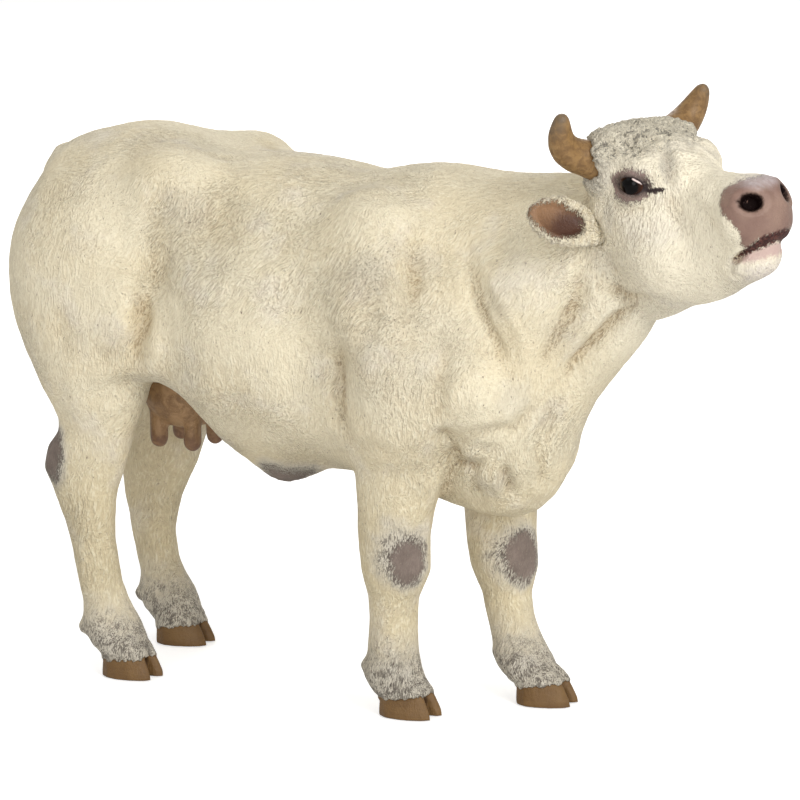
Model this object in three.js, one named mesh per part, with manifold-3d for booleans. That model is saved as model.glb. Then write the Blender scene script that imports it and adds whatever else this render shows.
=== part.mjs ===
// Toy cow, a moulded and painted farm animal figure that stands on its four hooves, calling with its head up.
// Millimetres, +X towards the head, +Y to the animal's left, +Z up.
// The figure is glued together from separate mouldings: each limb, horn, ear, the head, the udder and the
// tail has a root that seats in a socket of the moulding that carries it, with a thin gap for the glue.
// Muscles are ellipsoids that melt into each other. A skin of rings and spokes is laid over them.

import * as THREE from "three";
import { mergeVertices } from "three/addons/utils/BufferGeometryUtils.js";
import Module from "manifold-3d";

const wasm = await Module();
wasm.setup();

// Trunk
const trunkLength = 96; // back of the rump to the front of the brisket
const trunkWidth = 44; // across the belly
const trunkDepth = 50; // belly to back
const bellyHeight = 35; // ground to belly
const rumpReach = 65; // from the origin back to the rump
const muscleBlend = 7; // how softly the muscles melt together
const creaseBlend = 2.4; // and how softly the creases are pressed in
const glueGap = 0.3; // all round each seated root

// How the head is turned
const headYaw = -22; // degrees, towards the animal's right
const headPitch = -7; // degrees, the muzzle up
const headRoll = 7; // degrees, the left ear up

// Head, in its own frame: +X towards the muzzle
const headLength = 32;
const headWidth = 17;
const headDepth = 25;
const faceBlend = 2.6;
const eyeDiameter = 4.2;
const nostrilDiameter = 3;
const mouthDepth = 8.5; // from the lips back to the corner
const mouthGape = 1.3;
const mouthRise = 18; // degrees, towards the front

// Horns and ears
const hornDiameter = 5.4;
const hornTipDiameter = 1.9;
const hornSpan = 7.5; // root to tip, sideways
const rightHornRise = 6.8; // base to tip
const leftHornRise = 5.5;
const earLength = 12.5;
const earWidth = 7.6;
const earThickness = 3.4;
const earWall = 0.9;
const earRoot = 3.4; // seated behind the cheek

// Forelegs
const foreStance = 8.3; // from the middle plane to a hoof
const foreStep = 15; // how far the left foreleg is put ahead of the right one
const kneeDrop = 2.4; // how much lower the left knee comes
const forearmWidth = 12.6;
const kneeWidth = 11.2;
const foreCannonWidth = 7.9;
const foreFetlockWidth = 9.3;

// Hind legs
const hindStance = 10.8;
const hindStep = -4; // the left hind leg stands back
const hockDrop = 4.4; // how much lower the left hock comes
const gaskinWidth = 14;
const hockWidth = 14.6;
const hindCannonWidth = 7.2;
const hindFetlockWidth = 9.8;

const tenonShare = 0.58; // thickness of each leg's tenon, as a share of the leg

// Hooves and dewclaws
const hoofLength = 9.4;
const hoofWidth = 8.8;
const hoofHeight = 4.6;
const cleftWidth = 0.8;
const toeOut = 5; // degrees
const dewclawLength = 2.6;
const dewclawWidth = 2;
const dewclawHeight = 7.6;

// Udder and tail
const udderLength = 15;
const udderWidth = 14;
const udderDepth = 14;
const teatLength = 4.6;
const teatDiameter = 3;
const teatSpread = 6.6; // between left and right teats
const teatBase = 6.4; // between front and rear teats
const tailDrop = 48; // root to tip
const tailDiameter = 4.6;
const tuftDiameter = 5.4;

// Fineness of the skins, in counts
const trunkRings = 40;
const trunkSpokes = 36;
const headRings = 24;
const headSpokes = 30;
const poleRings = 8;
const limbSpokes = 16;
const roundSpokes = 12;
const hornRings = 9;
const tailRings = 15;
const raySteps = 40;
const rayHalvings = 16;

const up = new THREE.Vector3(0, 0, 1);
const scratch = new THREE.Vector3();

const at = (forward, left, height) => new THREE.Vector3(forward, left, height);
const radians = THREE.MathUtils.degToRad;
const mix = THREE.MathUtils.lerp;

// Closed skins

// Joins neighbouring rings of points, and closes both ends with a fan.
function closedSkin(startPoint, rings, endPoint) {
  const count = rings[0].length;
  const points = [startPoint, ...rings.flat(), endPoint];
  const faces = [];
  const last = points.length - 1;
  const foot = (ring, spoke) => 1 + ring * count + (spoke % count);
  for (let spoke = 0; spoke < count; spoke++) {
    faces.push(0, foot(0, spoke + 1), foot(0, spoke));
    faces.push(last, foot(rings.length - 1, spoke), foot(rings.length - 1, spoke + 1));
  }
  for (let ring = 0; ring + 1 < rings.length; ring++) {
    for (let spoke = 0; spoke < count; spoke++) {
      const [a, b] = [foot(ring, spoke), foot(ring, spoke + 1)];
      const [c, d] = [foot(ring + 1, spoke), foot(ring + 1, spoke + 1)];
      faces.push(a, b, c, b, d, c);
    }
  }
  const geometry = new THREE.BufferGeometry().setFromPoints(points);
  geometry.setIndex(faces);
  return geometry;
}

const middleOf = (ring) =>
  ring.reduce((sum, point) => sum.add(point), new THREE.Vector3()).divideScalar(ring.length);

// An oval in the plane of two half axes.
function oval(centre, halfA, halfB, spokes) {
  return Array.from({ length: spokes }, (_, spoke) => {
    const angle = (2 * Math.PI * spoke) / spokes;
    return centre
      .clone()
      .addScaledVector(halfA, Math.cos(angle))
      .addScaledVector(halfB, Math.sin(angle));
  });
}

const loft = (rings) => closedSkin(middleOf(rings[0]), rings, middleOf(rings[rings.length - 1]));

// A geometry as a solid that can be cut and joined, and back.
function solidOf(geometry) {
  const bare = geometry.clone();
  bare.deleteAttribute("normal");
  bare.deleteAttribute("uv");
  const merged = mergeVertices(bare);
  return new wasm.Manifold(
    new wasm.Mesh({
      numProp: 3,
      vertProperties: new Float32Array(merged.attributes.position.array),
      triVerts: new Uint32Array(merged.index.array),
    }),
  );
}

function geometryOf(solid) {
  const mesh = solid.getMesh();
  const geometry = new THREE.BufferGeometry();
  geometry.setAttribute("position", new THREE.BufferAttribute(mesh.vertProperties, 3));
  geometry.setIndex(new THREE.BufferAttribute(mesh.triVerts, 1));
  geometry.computeVertexNormals();
  return geometry;
}

const joined = (geometries) =>
  geometries.map(solidOf).reduce((whole, part) => whole.add(part));

const placed = (geometry, matrix) => geometry.clone().applyMatrix4(matrix);

// Muscles

// An ellipsoid, pitched nose up about the Y axis and turned about the Z axis.
function blob(centre, radii, pitch = 0, yaw = 0) {
  const turn = new THREE.Quaternion().setFromEuler(
    new THREE.Euler(0, radians(-pitch), radians(yaw), "ZYX"),
  );
  return { centre, radii, unturn: turn.invert() };
}

// Rough distance from the ellipsoid's surface, negative inside, and true close to it.
function blobDistance({ centre, radii, unturn }, point) {
  scratch.copy(point).sub(centre).applyQuaternion(unturn).divide(radii);
  const share = scratch.length();
  const slope = scratch.divide(radii).length();
  return slope > 0 ? (share * (share - 1)) / slope : -radii.y;
}

// The smaller of two distances, rounded off where they meet.
function melt(a, b, softness) {
  const near = Math.max(softness - Math.abs(a - b), 0) / softness;
  return Math.min(a, b) - (near * near * softness) / 4;
}

// The distance from a group of blobs that melt together.
const fleshField = (blobs, softness) => (point) =>
  blobs.reduce((distance, one) => melt(distance, blobDistance(one, point), softness), Infinity);

// The same flesh with some blobs pressed into it.
const pressedField = (field, hollows, softness) => (point) =>
  hollows.reduce((distance, one) => -melt(-distance, blobDistance(one, point), softness), field(point));

// Where a ray from inside the flesh comes out through its surface, or through one that lies further out.
function rayExit(field, start, direction, reach, proud) {
  const outside = (length) => field(start.clone().addScaledVector(direction, length)) > proud;
  let step = 1;
  while (step < raySteps && !outside((reach * step) / raySteps)) step++;
  let inner = (reach * (step - 1)) / raySteps;
  let outer = (reach * step) / raySteps;
  for (let halving = 0; halving < rayHalvings; halving++) {
    const middle = (inner + outer) / 2;
    if (outside(middle)) outer = middle;
    else inner = middle;
  }
  return start.clone().addScaledVector(direction, inner);
}

// A skin over the flesh: rings along a curve that runs inside it, and a rounded fan of rings at each end.
function fleshSkin(field, curve, rings, spokes, reach, proud) {
  const ringAround = (share, lean) => {
    const start = curve.getPointAt(share);
    const along = curve.getTangentAt(share);
    const side = up.clone().cross(along).normalize();
    const over = along.clone().cross(side);
    return Array.from({ length: spokes }, (_, spoke) => {
      const angle = (2 * Math.PI * spoke) / spokes;
      const direction = side
        .clone()
        .multiplyScalar(Math.cos(angle) * Math.cos(lean))
        .addScaledVector(over, Math.sin(angle) * Math.cos(lean))
        .addScaledVector(along, Math.sin(lean));
      return rayExit(field, start, direction, reach, proud);
    });
  };
  const quarter = Math.PI / 2;
  const skin = [];
  for (let ring = poleRings; ring > 0; ring--) skin.push(ringAround(0, (-quarter * ring) / (poleRings + 1)));
  for (let ring = 0; ring <= rings; ring++) skin.push(ringAround(ring / rings, 0));
  for (let ring = 1; ring <= poleRings; ring++) skin.push(ringAround(1, (quarter * ring) / (poleRings + 1)));
  const pole = (share, sign) =>
    rayExit(field, curve.getPointAt(share), curve.getTangentAt(share).multiplyScalar(sign), reach, proud);
  return closedSkin(pole(0, -1), skin, pole(1, 1));
}

// Turns a table of shares into blobs. A row that stands out to the left is made on the right as well, and one
// that leans to the right is made only once.
function blobsOf(table, place, size) {
  return table.flatMap(([forward, aside, height, length, width, depth, pitch = 0, yaw = 0]) => {
    const radii = size(length, width, depth);
    const hands = aside > 0 ? [1, -1] : [1];
    return hands.map((side) => blob(place(forward, side * aside, height), radii, pitch, side * yaw));
  });
}

// Trunk and neck

// Forward from the rump, out from the middle plane and up from the belly, then the half sizes, as shares of
// the trunk's length, width and depth. The last numbers are degrees of pitch and yaw.
const muscleShares = [
  [0.49, 0, 0.49, 0.375, 0.475, 0.485, -2], // barrel
  [0.46, 0.13, 0.81, 0.3, 0.17, 0.13], // loin
  [0.775, 0, 0.435, 0.215, 0.39, 0.46], // chest
  [0.755, 0.3, 0.55, 0.115, 0.155, 0.41, 12], // shoulder blade
  [0.9, 0.22, 0.38, 0.07, 0.16, 0.15], // point of the shoulder
  [0.745, 0.235, 0.22, 0.085, 0.13, 0.15], // elbow
  [0.79, 0, 0.88, 0.12, 0.14, 0.12], // withers
  [0.93, 0, 0.1, 0.05, 0.17, 0.17, -35], // brisket
  [0.88, 0, 0.07, 0.08, 0.12, 0.1], // under the brisket
  [0.22, 0, 0.68, 0.185, 0.42, 0.385], // rump
  [0.162, 0.27, 0.51, 0.132, 0.2, 0.38, 15], // thigh
  [0.205, 0.28, 0.22, 0.08, 0.15, 0.18, 8], // above the gaskin
  [0.345, 0.29, 0.92, 0.06, 0.105, 0.09], // hip
  [0.09, 0, 0.88, 0.06, 0.13, 0.1], // tailhead
  [0.3, 0.31, 0.44, 0.06, 0.1, 0.14, -25], // stifle
  [0.47, 0, 0.03, 0.045, 0.04, 0.075], // navel
];
const neckShares = [
  [0.88, 0, 0.59, 0.165, 0.29, 0.34, 30], // root of the neck
  [1.0, -0.015, 0.7, 0.168, 0.255, 0.305, 34], // behind the head
  [0.95, -0.01, 0.335, 0.068, 0.1, 0.345, -35], // dewlap
];
const hollowShares = [
  [0.45, 0.47, 0.86, 0.05, 0.05, 0.07], // flank
  [0.35, 0.51, 0.66, 0.025, 0.05, 0.2, 8], // in front of the thigh
  [0.655, 0.5, 0.33, 0.035, 0.05, 0.22, 12], // behind the elbow
  [0.302, 0, 0.09, 0.092, 0.62, 0.2, -12], // groin, over the udder
  [0.86, 0.43, 0.72, 0.025, 0.06, 0.2, 14], // in front of the shoulder
];
const creaseShares = [
  [0.342, 0.427, 0.62, 0.135, 0.045, 0.034, 76], // between flank and thigh
  [0.685, 0.436, 0.32, 0.083, 0.04, 0.03, 80], // behind the elbow
  [0.808, 0.377, 0.73, 0.068, 0.034, 0.028, -81], // down the shoulder blade
  [0.936, 0.325, 0.55, 0.104, 0.04, 0.03, -68], // neck, against the shoulder
  [1.04, 0.239, 0.57, 0.094, 0.042, 0.03, 64], // neck, halfway
  [1.092, 0.173, 0.53, 0.109, 0.046, 0.032, 45], // neck, below the jaw
  [0.868, 0.31, 0.11, 0.03, 0.09, 0.17, 6], // between the arm and the brisket
];

// Where the glued pieces sit on the trunk
const foreRootShares = [0.74, 0.261, 0.18];
const hindRootShares = [0.193, 0.3, 0.38];
const headSeatShares = [1.121, -0.041, 0.93];
const udderSeatShares = [0.281, 0, 0.22];

const trunkPlace = (forward, aside, height) =>
  at(trunkLength * forward - rumpReach, trunkWidth * aside, bellyHeight + trunkDepth * height);
const trunkSize = (length, width, depth) => at(trunkLength * length, trunkWidth * width, trunkDepth * depth);

const trunkAxisShares = [
  [0.19, 0, 0.53],
  [0.45, 0, 0.53],
  [0.74, 0, 0.5],
  [0.9, 0, 0.62],
  [1.02, -0.02, 0.8],
];

function trunkSkin() {
  const trunkBlobs = (table) => blobsOf(table, trunkPlace, trunkSize);
  const flesh = fleshField(trunkBlobs([...muscleShares, ...neckShares]), muscleBlend);
  const hollowed = pressedField(flesh, trunkBlobs(hollowShares), muscleBlend);
  const field = pressedField(hollowed, trunkBlobs(creaseShares), creaseBlend);
  const curve = new THREE.CatmullRomCurve3(trunkAxisShares.map((row) => trunkPlace(...row)));
  return fleshSkin(field, curve, trunkRings, trunkSpokes, trunkLength / 2, 0);
}

// Head

// In the head's own frame, as shares of its length, width and depth.
const skullShares = [
  [0.13, 0, 0.08, 0.27, 0.5, 0.38], // cranium
  [0.085, 0, 0.378, 0.18, 0.56, 0.15], // poll
  [0.065, 0.35, 0.3, 0.13, 0.155, 0.17], // hair round the root of the horn
  [0.29, 0, 0.2, 0.24, 0.42, 0.2, -8], // forehead
  [0.31, 0.35, 0.24, 0.1, 0.14, 0.085, -10], // brow
  [0.25, 0.27, -0.18, 0.25, 0.24, 0.33], // cheek
  [0.42, 0, -0.33, 0.38, 0.29, 0.25, 12], // jaw
  [0.08, 0, -0.43, 0.3, 0.3, 0.26, 20], // throat
  [0.6, 0, 0.06, 0.36, 0.25, 0.15, -6], // bridge of the nose
  [0.66, 0, -0.08, 0.28, 0.3, 0.21], // snout
  [0.815, 0, -0.015, 0.12, 0.36, 0.19, -12], // muzzle
  [0.84, 0, -0.13, 0.09, 0.27, 0.08, 14], // upper lip
  [0.755, 0, -0.31, 0.13, 0.24, 0.11, 16], // lower lip and chin
  [0.02, 0, -0.1, 0.2, 0.42, 0.36], // nape
];
const socketShares = [
  [0.36, 0.6, 0.17, 0.07, 0.07, 0.06, -10, -20], // below the brow
  [0.62, 0.42, -0.04, 0.1, 0.06, 0.06, 0, -8], // beside the nose
];
const skullAxisShares = [
  [0.06, 0, 0.02],
  [0.3, 0, 0.0],
  [0.55, 0, -0.06],
  [0.8, 0, -0.1],
];
const eyeShares = [0.285, 0.415, 0.2];
const nostrilShares = [0.935, 0.23, 0.045];

const skullPlace = (forward, aside, height) => at(headLength * forward, headWidth * aside, headDepth * height);

function skullSkin(proud) {
  const skullBlobs = (table) => blobsOf(table, skullPlace, skullPlace);
  const field = pressedField(fleshField(skullBlobs(skullShares), faceBlend), skullBlobs(socketShares), faceBlend);
  const curve = new THREE.CatmullRomCurve3(skullAxisShares.map((row) => skullPlace(...row)));
  return fleshSkin(field, curve, headRings, headSpokes, headLength, proud);
}

function eyeball(side) {
  const [forward, aside, height] = eyeShares;
  const centre = skullPlace(forward, side * aside, height);
  return new THREE.SphereGeometry(eyeDiameter / 2, roundSpokes, roundSpokes / 2).translate(...centre);
}

function nostril(side) {
  const [forward, aside, height] = nostrilShares;
  const centre = skullPlace(forward, side * aside, height);
  return new THREE.SphereGeometry(nostrilDiameter / 2, roundSpokes, roundSpokes / 2)
    .scale(1, 1, 0.75)
    .rotateY(radians(30))
    .rotateZ(radians(side * 35))
    .translate(...centre);
}

// The open lips: a wedge that is highest at the front and rounds off towards the corner.
function mouthCutter() {
  const profile = new THREE.Shape();
  profile.moveTo(-mouthDepth, 0);
  profile.quadraticCurveTo(-mouthDepth / 2, mouthGape * 0.9, mouthDepth / 2, mouthGape / 2);
  profile.lineTo(mouthDepth / 2, -mouthGape * 0.9);
  profile.quadraticCurveTo(-mouthDepth / 3, -mouthGape / 2, -mouthDepth, 0);
  const width = headWidth;
  return new THREE.ExtrudeGeometry(profile, { depth: width, bevelEnabled: false, curveSegments: 6 })
    .rotateX(Math.PI / 2)
    .rotateY(radians(-mouthRise))
    .translate(headLength * 0.94, width / 2, headDepth * -0.216);
}

// The gums and the tongue, which close the mouth behind the lips.
function mouthCore() {
  const [length, width, depth] = [headLength * 0.17, headWidth * 0.19, headDepth * 0.16];
  return new THREE.SphereGeometry(1, limbSpokes, limbSpokes / 2)
    .scale(length, width, depth)
    .translate(headLength * 0.755, 0, headDepth * -0.26);
}

// Horns

// Its root is seated in the side of the poll. It runs outwards first, and then up.
function horn(side, proud) {
  const hornShares = [
    [0.05, 0, -0.28],
    [0.04, 0.31, -0.06],
    [0.03, 0.64, 0.12],
    [0.05, 0.89, 0.45],
    [0.115, 1, 1],
  ];
  const base = headDepth * 0.385;
  const root = headWidth * 0.38;
  const rise = side > 0 ? leftHornRise : rightHornRise;
  const path = new THREE.CatmullRomCurve3(
    hornShares.map(([forward, aside, height]) =>
      at(headLength * forward, side * (root + hornSpan * aside), base + rise * height),
    ),
  );
  const rings = Array.from({ length: hornRings }, (_, ring) => {
    const share = ring / (hornRings - 1);
    const radius = mix(hornDiameter, hornTipDiameter, share ** 2.2) / 2 + proud;
    return crossRing(path, share, radius, radius, roundSpokes);
  });
  const start = path.getPointAt(0).addScaledVector(path.getTangentAt(0), -proud);
  const tip = path.getPointAt(1).addScaledVector(path.getTangentAt(1), hornTipDiameter / 3 + proud);
  return closedSkin(start, rings, tip);
}

// An oval square to a path at a share of its length.
function crossRing(path, share, halfSide, halfOver, spokes) {
  const along = path.getTangentAt(share);
  const side = at(1, 0, 0).cross(along).normalize();
  const over = along.clone().cross(side);
  const centre = path.getPointAt(share);
  return oval(centre, side.multiplyScalar(halfSide), over.multiplyScalar(halfOver), spokes);
}

// Ears

// A leaf that grows along its own +X, with its open side up its own +Z.
function earLeaf(inset, proud) {
  const leafShares = [
    [0, 0.42, 0.62],
    [0.2, 0.62, 0.85],
    [0.42, 0.94, 1],
    [0.62, 1, 0.95],
    [0.82, 0.74, 0.8],
    [0.95, 0.36, 0.5],
  ];
  const rings = leafShares.map(([share, width, thickness]) =>
    oval(
      at(earLength * share, 0, 0),
      at(0, (earWidth / 2) * width - inset + proud, 0),
      at(0, 0, (earThickness / 2) * thickness - inset / 2 + proud),
      roundSpokes,
    ),
  );
  const [, rootWidth, rootThickness] = leafShares[0];
  if (!inset) {
    rings.unshift(
      oval(
        at(-earRoot - proud, 0, 0),
        at(0, (earWidth / 2) * rootWidth + proud, 0),
        at(0, 0, (earThickness / 2) * rootThickness + proud),
        roundSpokes,
      ),
    );
  }
  return closedSkin(middleOf(rings[0]), rings, at(earLength + proud - inset, 0, 0));
}

const earTurn = (side) =>
  new THREE.Matrix4()
    .makeTranslation(headLength * 0.02, side * headWidth * 0.42, headDepth * -0.1)
    .multiply(new THREE.Matrix4().makeRotationZ(radians(side * 95)))
    .multiply(new THREE.Matrix4().makeRotationY(radians(-27)))
    .multiply(new THREE.Matrix4().makeRotationX(radians(side * 70)));

function earSolid(side) {
  const bowl = earLeaf(earWall, 0).scale(0.8, 1, 1);
  bowl.translate(earLength * 0.2, 0, earThickness * 0.42);
  return solidOf(placed(earLeaf(0, 0), earTurn(side))).subtract(solidOf(placed(bowl, earTurn(side))));
}

const earClearance = (side) => solidOf(placed(earLeaf(0, glueGap), earTurn(side)));

// Legs

// Up and forward as shares of the leg's height, how much of the step is reached, the width seen from the
// side, and the width seen from the front as a share of it.
const foreLegShares = [
  [1, 0.045, 0.3, forearmWidth * 1.26, 0.63],
  [0.86, 0.035, 0.38, forearmWidth * 1.15, 0.7],
  [0.75, 0.018, 0.44, forearmWidth, 0.8],
  [0.67, 0.008, 0.48, forearmWidth * 0.94, 0.83],
  [0.6, 0.007, 0.51, kneeWidth * 1.03, 0.85],
  [0.53, 0.009, 0.54, kneeWidth, 0.87],
  [0.48, 0.002, 0.58, kneeWidth * 0.87, 0.9],
  [0.43, -0.004, 0.62, foreCannonWidth * 1.02, 0.9],
  [0.33, -0.009, 0.69, foreCannonWidth, 0.87],
  [0.23, -0.014, 0.8, foreCannonWidth * 1.05, 0.88],
  [0.17, -0.018, 0.88, foreFetlockWidth * 0.98, 0.9],
  [0.135, -0.012, 0.91, foreFetlockWidth, 0.92],
  [0.105, 0.004, 0.93, foreFetlockWidth * 0.97, 0.94],
  [0.083, 0.018, 0.96, foreFetlockWidth * 0.93, 0.96],
  [0.068, 0.028, 0.97, foreFetlockWidth * 0.72, 0.96],
];
const hindLegShares = [
  [1, 0.03, 0, gaskinWidth * 1.3, 0.7],
  [0.85, 0.018, 0.12, gaskinWidth * 1.12, 0.8],
  [0.74, -0.008, 0.3, gaskinWidth * 0.95, 0.72],
  [0.68, -0.04, 0.4, hockWidth, 0.64],
  [0.615, -0.06, 0.5, hockWidth * 0.98, 0.64],
  [0.57, -0.058, 0.62, hockWidth * 0.81, 0.73],
  [0.525, -0.055, 0.78, hockWidth * 0.7, 0.8],
  [0.46, -0.045, 0.9, hindCannonWidth * 1.17, 0.86],
  [0.4, -0.037, 1, hindCannonWidth * 1.06, 0.88],
  [0.28, -0.017, 1, hindCannonWidth, 0.93],
  [0.22, 0.002, 1, hindCannonWidth * 1.07, 0.93],
  [0.163, 0.018, 1, hindFetlockWidth, 0.84],
  [0.13, 0.026, 1, hindFetlockWidth * 1.02, 0.85],
  [0.1, 0.043, 1, hindFetlockWidth * 0.96, 0.86],
  [0.078, 0.062, 1, hindFetlockWidth * 0.88, 0.94],
  [0.062, 0.075, 1, hindFetlockWidth * 0.68, 0.96],
];

const foreLeg = {
  table: foreLegShares,
  root: trunkPlace(...foreRootShares),
  hoofStance: foreStance,
  step: foreStep,
  drop: kneeDrop,
  fetlockRow: 11,
  hoofAhead: hoofLength * 0.24,
};
const hindLeg = {
  table: hindLegShares,
  root: trunkPlace(...hindRootShares),
  hoofStance: hindStance,
  step: hindStep,
  drop: hockDrop,
  fetlockRow: 11,
  hoofAhead: hoofLength * 0.52,
};

// The middle of one row of a leg's table. Only the left leg is put forward or back.
function legMiddle({ root, hoofStance, step, drop }, side, [upShare, forwardShare, stepShare]) {
  const [taken, sunk] = side > 0 ? [step, drop] : [0, 0];
  return at(
    root.x + root.z * forwardShare + taken * stepShare,
    side * mix(hoofStance, root.y, upShare),
    root.z * upShare - sunk * Math.sin(Math.PI * upShare) ** 4,
  );
}

// The rings of a leg's flesh, from some rows of its table.
function legRings(leg, side, rows, spread, proud) {
  return rows.map((row) => {
    const [, , , width, sideShare] = row;
    const half = (width / 2) * spread;
    const [ahead, aside] = [at(half + proud, 0, 0), at(0, -half * sideShare - proud, 0)];
    return oval(legMiddle(leg, side, row), ahead, aside, limbSpokes);
  });
}

const lifted = (rings, rise) => {
  rings[0].forEach((point) => point.add(up.clone().multiplyScalar(rise)));
  return rings;
};

// The trunk's stump, the leg below it and the tenon that joins them meet at one row of the leg's table.
const seamRow = 2;
const stump = (leg, side) => loft(legRings(leg, side, leg.table.slice(0, seamRow + 1), 1, 0));
const shank = (leg, side, proud) =>
  loft(lifted(legRings(leg, side, leg.table.slice(seamRow), 1, proud), proud - glueGap));
const tenon = (leg, side, proud) =>
  loft(lifted(legRings(leg, side, leg.table.slice(seamRow - 1, seamRow + 2), tenonShare, proud), proud));

// One claw of a cloven hoof, flat underneath. The outline runs along the cleft to the toe and back outside.
function claw(side) {
  const soleShares = [
    [-0.42, 0.02],
    [-0.1, 0],
    [0.25, 0],
    [0.43, 0.1],
    [0.5, 0.3],
    [0.42, 0.56],
    [0.22, 0.82],
    [0, 0.97],
    [-0.22, 1],
    [-0.4, 0.8],
    [-0.48, 0.42],
  ];
  const wallShares = [
    [0, 1, 0],
    [0.2, 0.98, -0.012],
    [0.6, 0.88, -0.06],
    [1, 0.76, -0.12],
    [1.25, 0.55, -0.15],
  ];
  const clawWidth = (hoofWidth - cleftWidth) / 2;
  const rings = wallShares.map(([rise, spread, shift]) =>
    soleShares.map(([forward, aside]) =>
      at(
        hoofLength * (forward * spread + shift),
        side * (cleftWidth / 2 + clawWidth * aside * spread),
        hoofHeight * rise,
      ),
    ),
  );
  if (side < 0) rings.forEach((ring) => ring.reverse());
  return loft(rings);
}

// A small horny nub on one side of the back of the fetlock.
function dewclaw(leg, side, hand) {
  const row = leg.table[leg.fetlockRow];
  const [, , , width, sideShare] = row;
  const fetlock = legMiddle(leg, side, row);
  return new THREE.SphereGeometry(dewclawLength / 2, roundSpokes / 2, roundSpokes / 2)
    .scale(1, dewclawWidth / dewclawLength, 1)
    .translate(fetlock.x - width * 0.4, fetlock.y + hand * width * sideShare * 0.22, dewclawHeight);
}

function legSolid(leg, side) {
  const taken = side > 0 ? leg.step : 0;
  const hoofPlace = new THREE.Matrix4()
    .makeTranslation(leg.root.x + taken + leg.hoofAhead, side * leg.hoofStance, 0)
    .multiply(new THREE.Matrix4().makeRotationZ(radians(side * toeOut)));
  return joined([
    shank(leg, side, 0),
    tenon(leg, side, 0),
    placed(claw(1), hoofPlace),
    placed(claw(-1), hoofPlace),
    dewclaw(leg, side, 1),
    dewclaw(leg, side, -1),
  ]);
}

// Udder

const udderPlace = trunkPlace(...udderSeatShares);

function udderBag(proud) {
  return new THREE.SphereGeometry(1, limbSpokes, roundSpokes)
    .rotateX(Math.PI / 2)
    .scale(udderLength / 2 + proud, udderWidth / 2 + proud, udderDepth / 2 + proud)
    .translate(...udderPlace);
}

function teat(forward, side, proud) {
  return new THREE.CapsuleGeometry(teatDiameter / 2 + proud, teatLength, 3, roundSpokes)
    .rotateX(Math.PI / 2)
    .translate(
      (forward * teatBase) / 2,
      (side * teatSpread) / 2,
      -udderDepth / 2 + teatDiameter / 4,
    )
    .translate(...udderPlace);
}

const udderSkins = (proud) => [
  udderBag(proud),
  teat(1, 1, proud),
  teat(1, -1, proud),
  teat(-1, 1, proud),
  teat(-1, -1, proud),
];

// Tail

// It leaves the tailhead, hangs in the cleft between the thighs and ends in a tuft.
function tail(proud) {
  const tailShares = [
    [0.11, 0.9],
    [0.075, 0.945],
    [0.035, 0.9],
    [0.015, 0.78],
    [0.018, 0.6],
    [0.045, 0.38],
    [0.075, 0.2],
    [0.09, 0.06],
  ];
  const top = bellyHeight + trunkDepth;
  const path = new THREE.CatmullRomCurve3(
    tailShares.map(([forward, height]) => at(trunkLength * forward - rumpReach, 0, top - tailDrop * (1 - height))),
  );
  const rings = Array.from({ length: tailRings }, (_, ring) => {
    const share = ring / (tailRings - 1);
    const tuft = Math.exp(-(((share - 0.86) / 0.09) ** 2));
    const width = mix(mix(tailDiameter, tailDiameter * 0.62, share), tuftDiameter, tuft) / 2 + proud;
    const along = path.getTangentAt(share);
    const side = at(0, 1, 0);
    const over = along.clone().cross(side);
    return oval(path.getPointAt(share), side.multiplyScalar(width), over.multiplyScalar(width), roundSpokes);
  });
  const start = path.getPointAt(0).addScaledVector(path.getTangentAt(0), -proud);
  const tip = path.getPointAt(1).addScaledVector(path.getTangentAt(1), tailDiameter / 2 + proud);
  return closedSkin(start, rings, tip);
}

// Materials

const coat = (name) =>
  new THREE.MeshStandardMaterial({ name, color: 0xe9e0c6, roughness: 0.75, metalness: 0 });
const paint = (name, color, roughness) =>
  new THREE.MeshStandardMaterial({ name, color, roughness, metalness: 0 });

function part(name, solid, material) {
  const mesh = new THREE.Mesh(geometryOf(solid), material);
  mesh.name = name;
  return mesh;
}

// Assembly

const headPose = new THREE.Matrix4()
  .makeTranslation(...trunkPlace(...headSeatShares))
  .multiply(
    new THREE.Matrix4().makeRotationFromEuler(
      new THREE.Euler(radians(headRoll), radians(headPitch), radians(headYaw), "ZYX"),
    ),
  );

const sides = { right: -1, left: 1 };

function headParts() {
  const group = new THREE.Group();
  let skull = solidOf(skullSkin(0));
  for (const [name, side] of Object.entries(sides)) {
    skull = skull.add(solidOf(eyeball(side))).subtract(solidOf(nostril(side)));
    skull = skull.subtract(solidOf(horn(side, glueGap))).subtract(earClearance(side));
    group.add(part(`horn_${name}`, solidOf(horn(side, 0)), paint("horn", 0x8f6f4a, 0.6)));
    group.add(part(`ear_${name}`, earSolid(side), coat("ear")));
  }
  skull = skull.subtract(solidOf(mouthCutter()).subtract(solidOf(mouthCore())));
  group.add(part("head", skull, coat("coat")));
  group.applyMatrix4(headPose);
  return group;
}

function legParts() {
  const group = new THREE.Group();
  for (const [name, side] of Object.entries(sides)) {
    group.add(part(`foreleg_${name}`, legSolid(foreLeg, side), coat("coat")));
    group.add(part(`hindleg_${name}`, legSolid(hindLeg, side), coat("coat")));
  }
  return group;
}

function trunkPart() {
  const stumps = [];
  const seats = [placed(skullSkin(glueGap), headPose), ...udderSkins(glueGap), tail(glueGap)];
  for (const side of Object.values(sides)) {
    seats.push(placed(placed(earLeaf(0, glueGap), earTurn(side)), headPose));
    for (const leg of [foreLeg, hindLeg]) {
      stumps.push(stump(leg, side));
      seats.push(shank(leg, side, glueGap), tenon(leg, side, glueGap));
    }
  }
  const whole = joined([trunkSkin(), ...stumps]);
  const cut = seats.reduce((trunk, seat) => trunk.subtract(solidOf(seat)), whole);
  return part("trunk", cut, coat("coat"));
}

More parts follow.
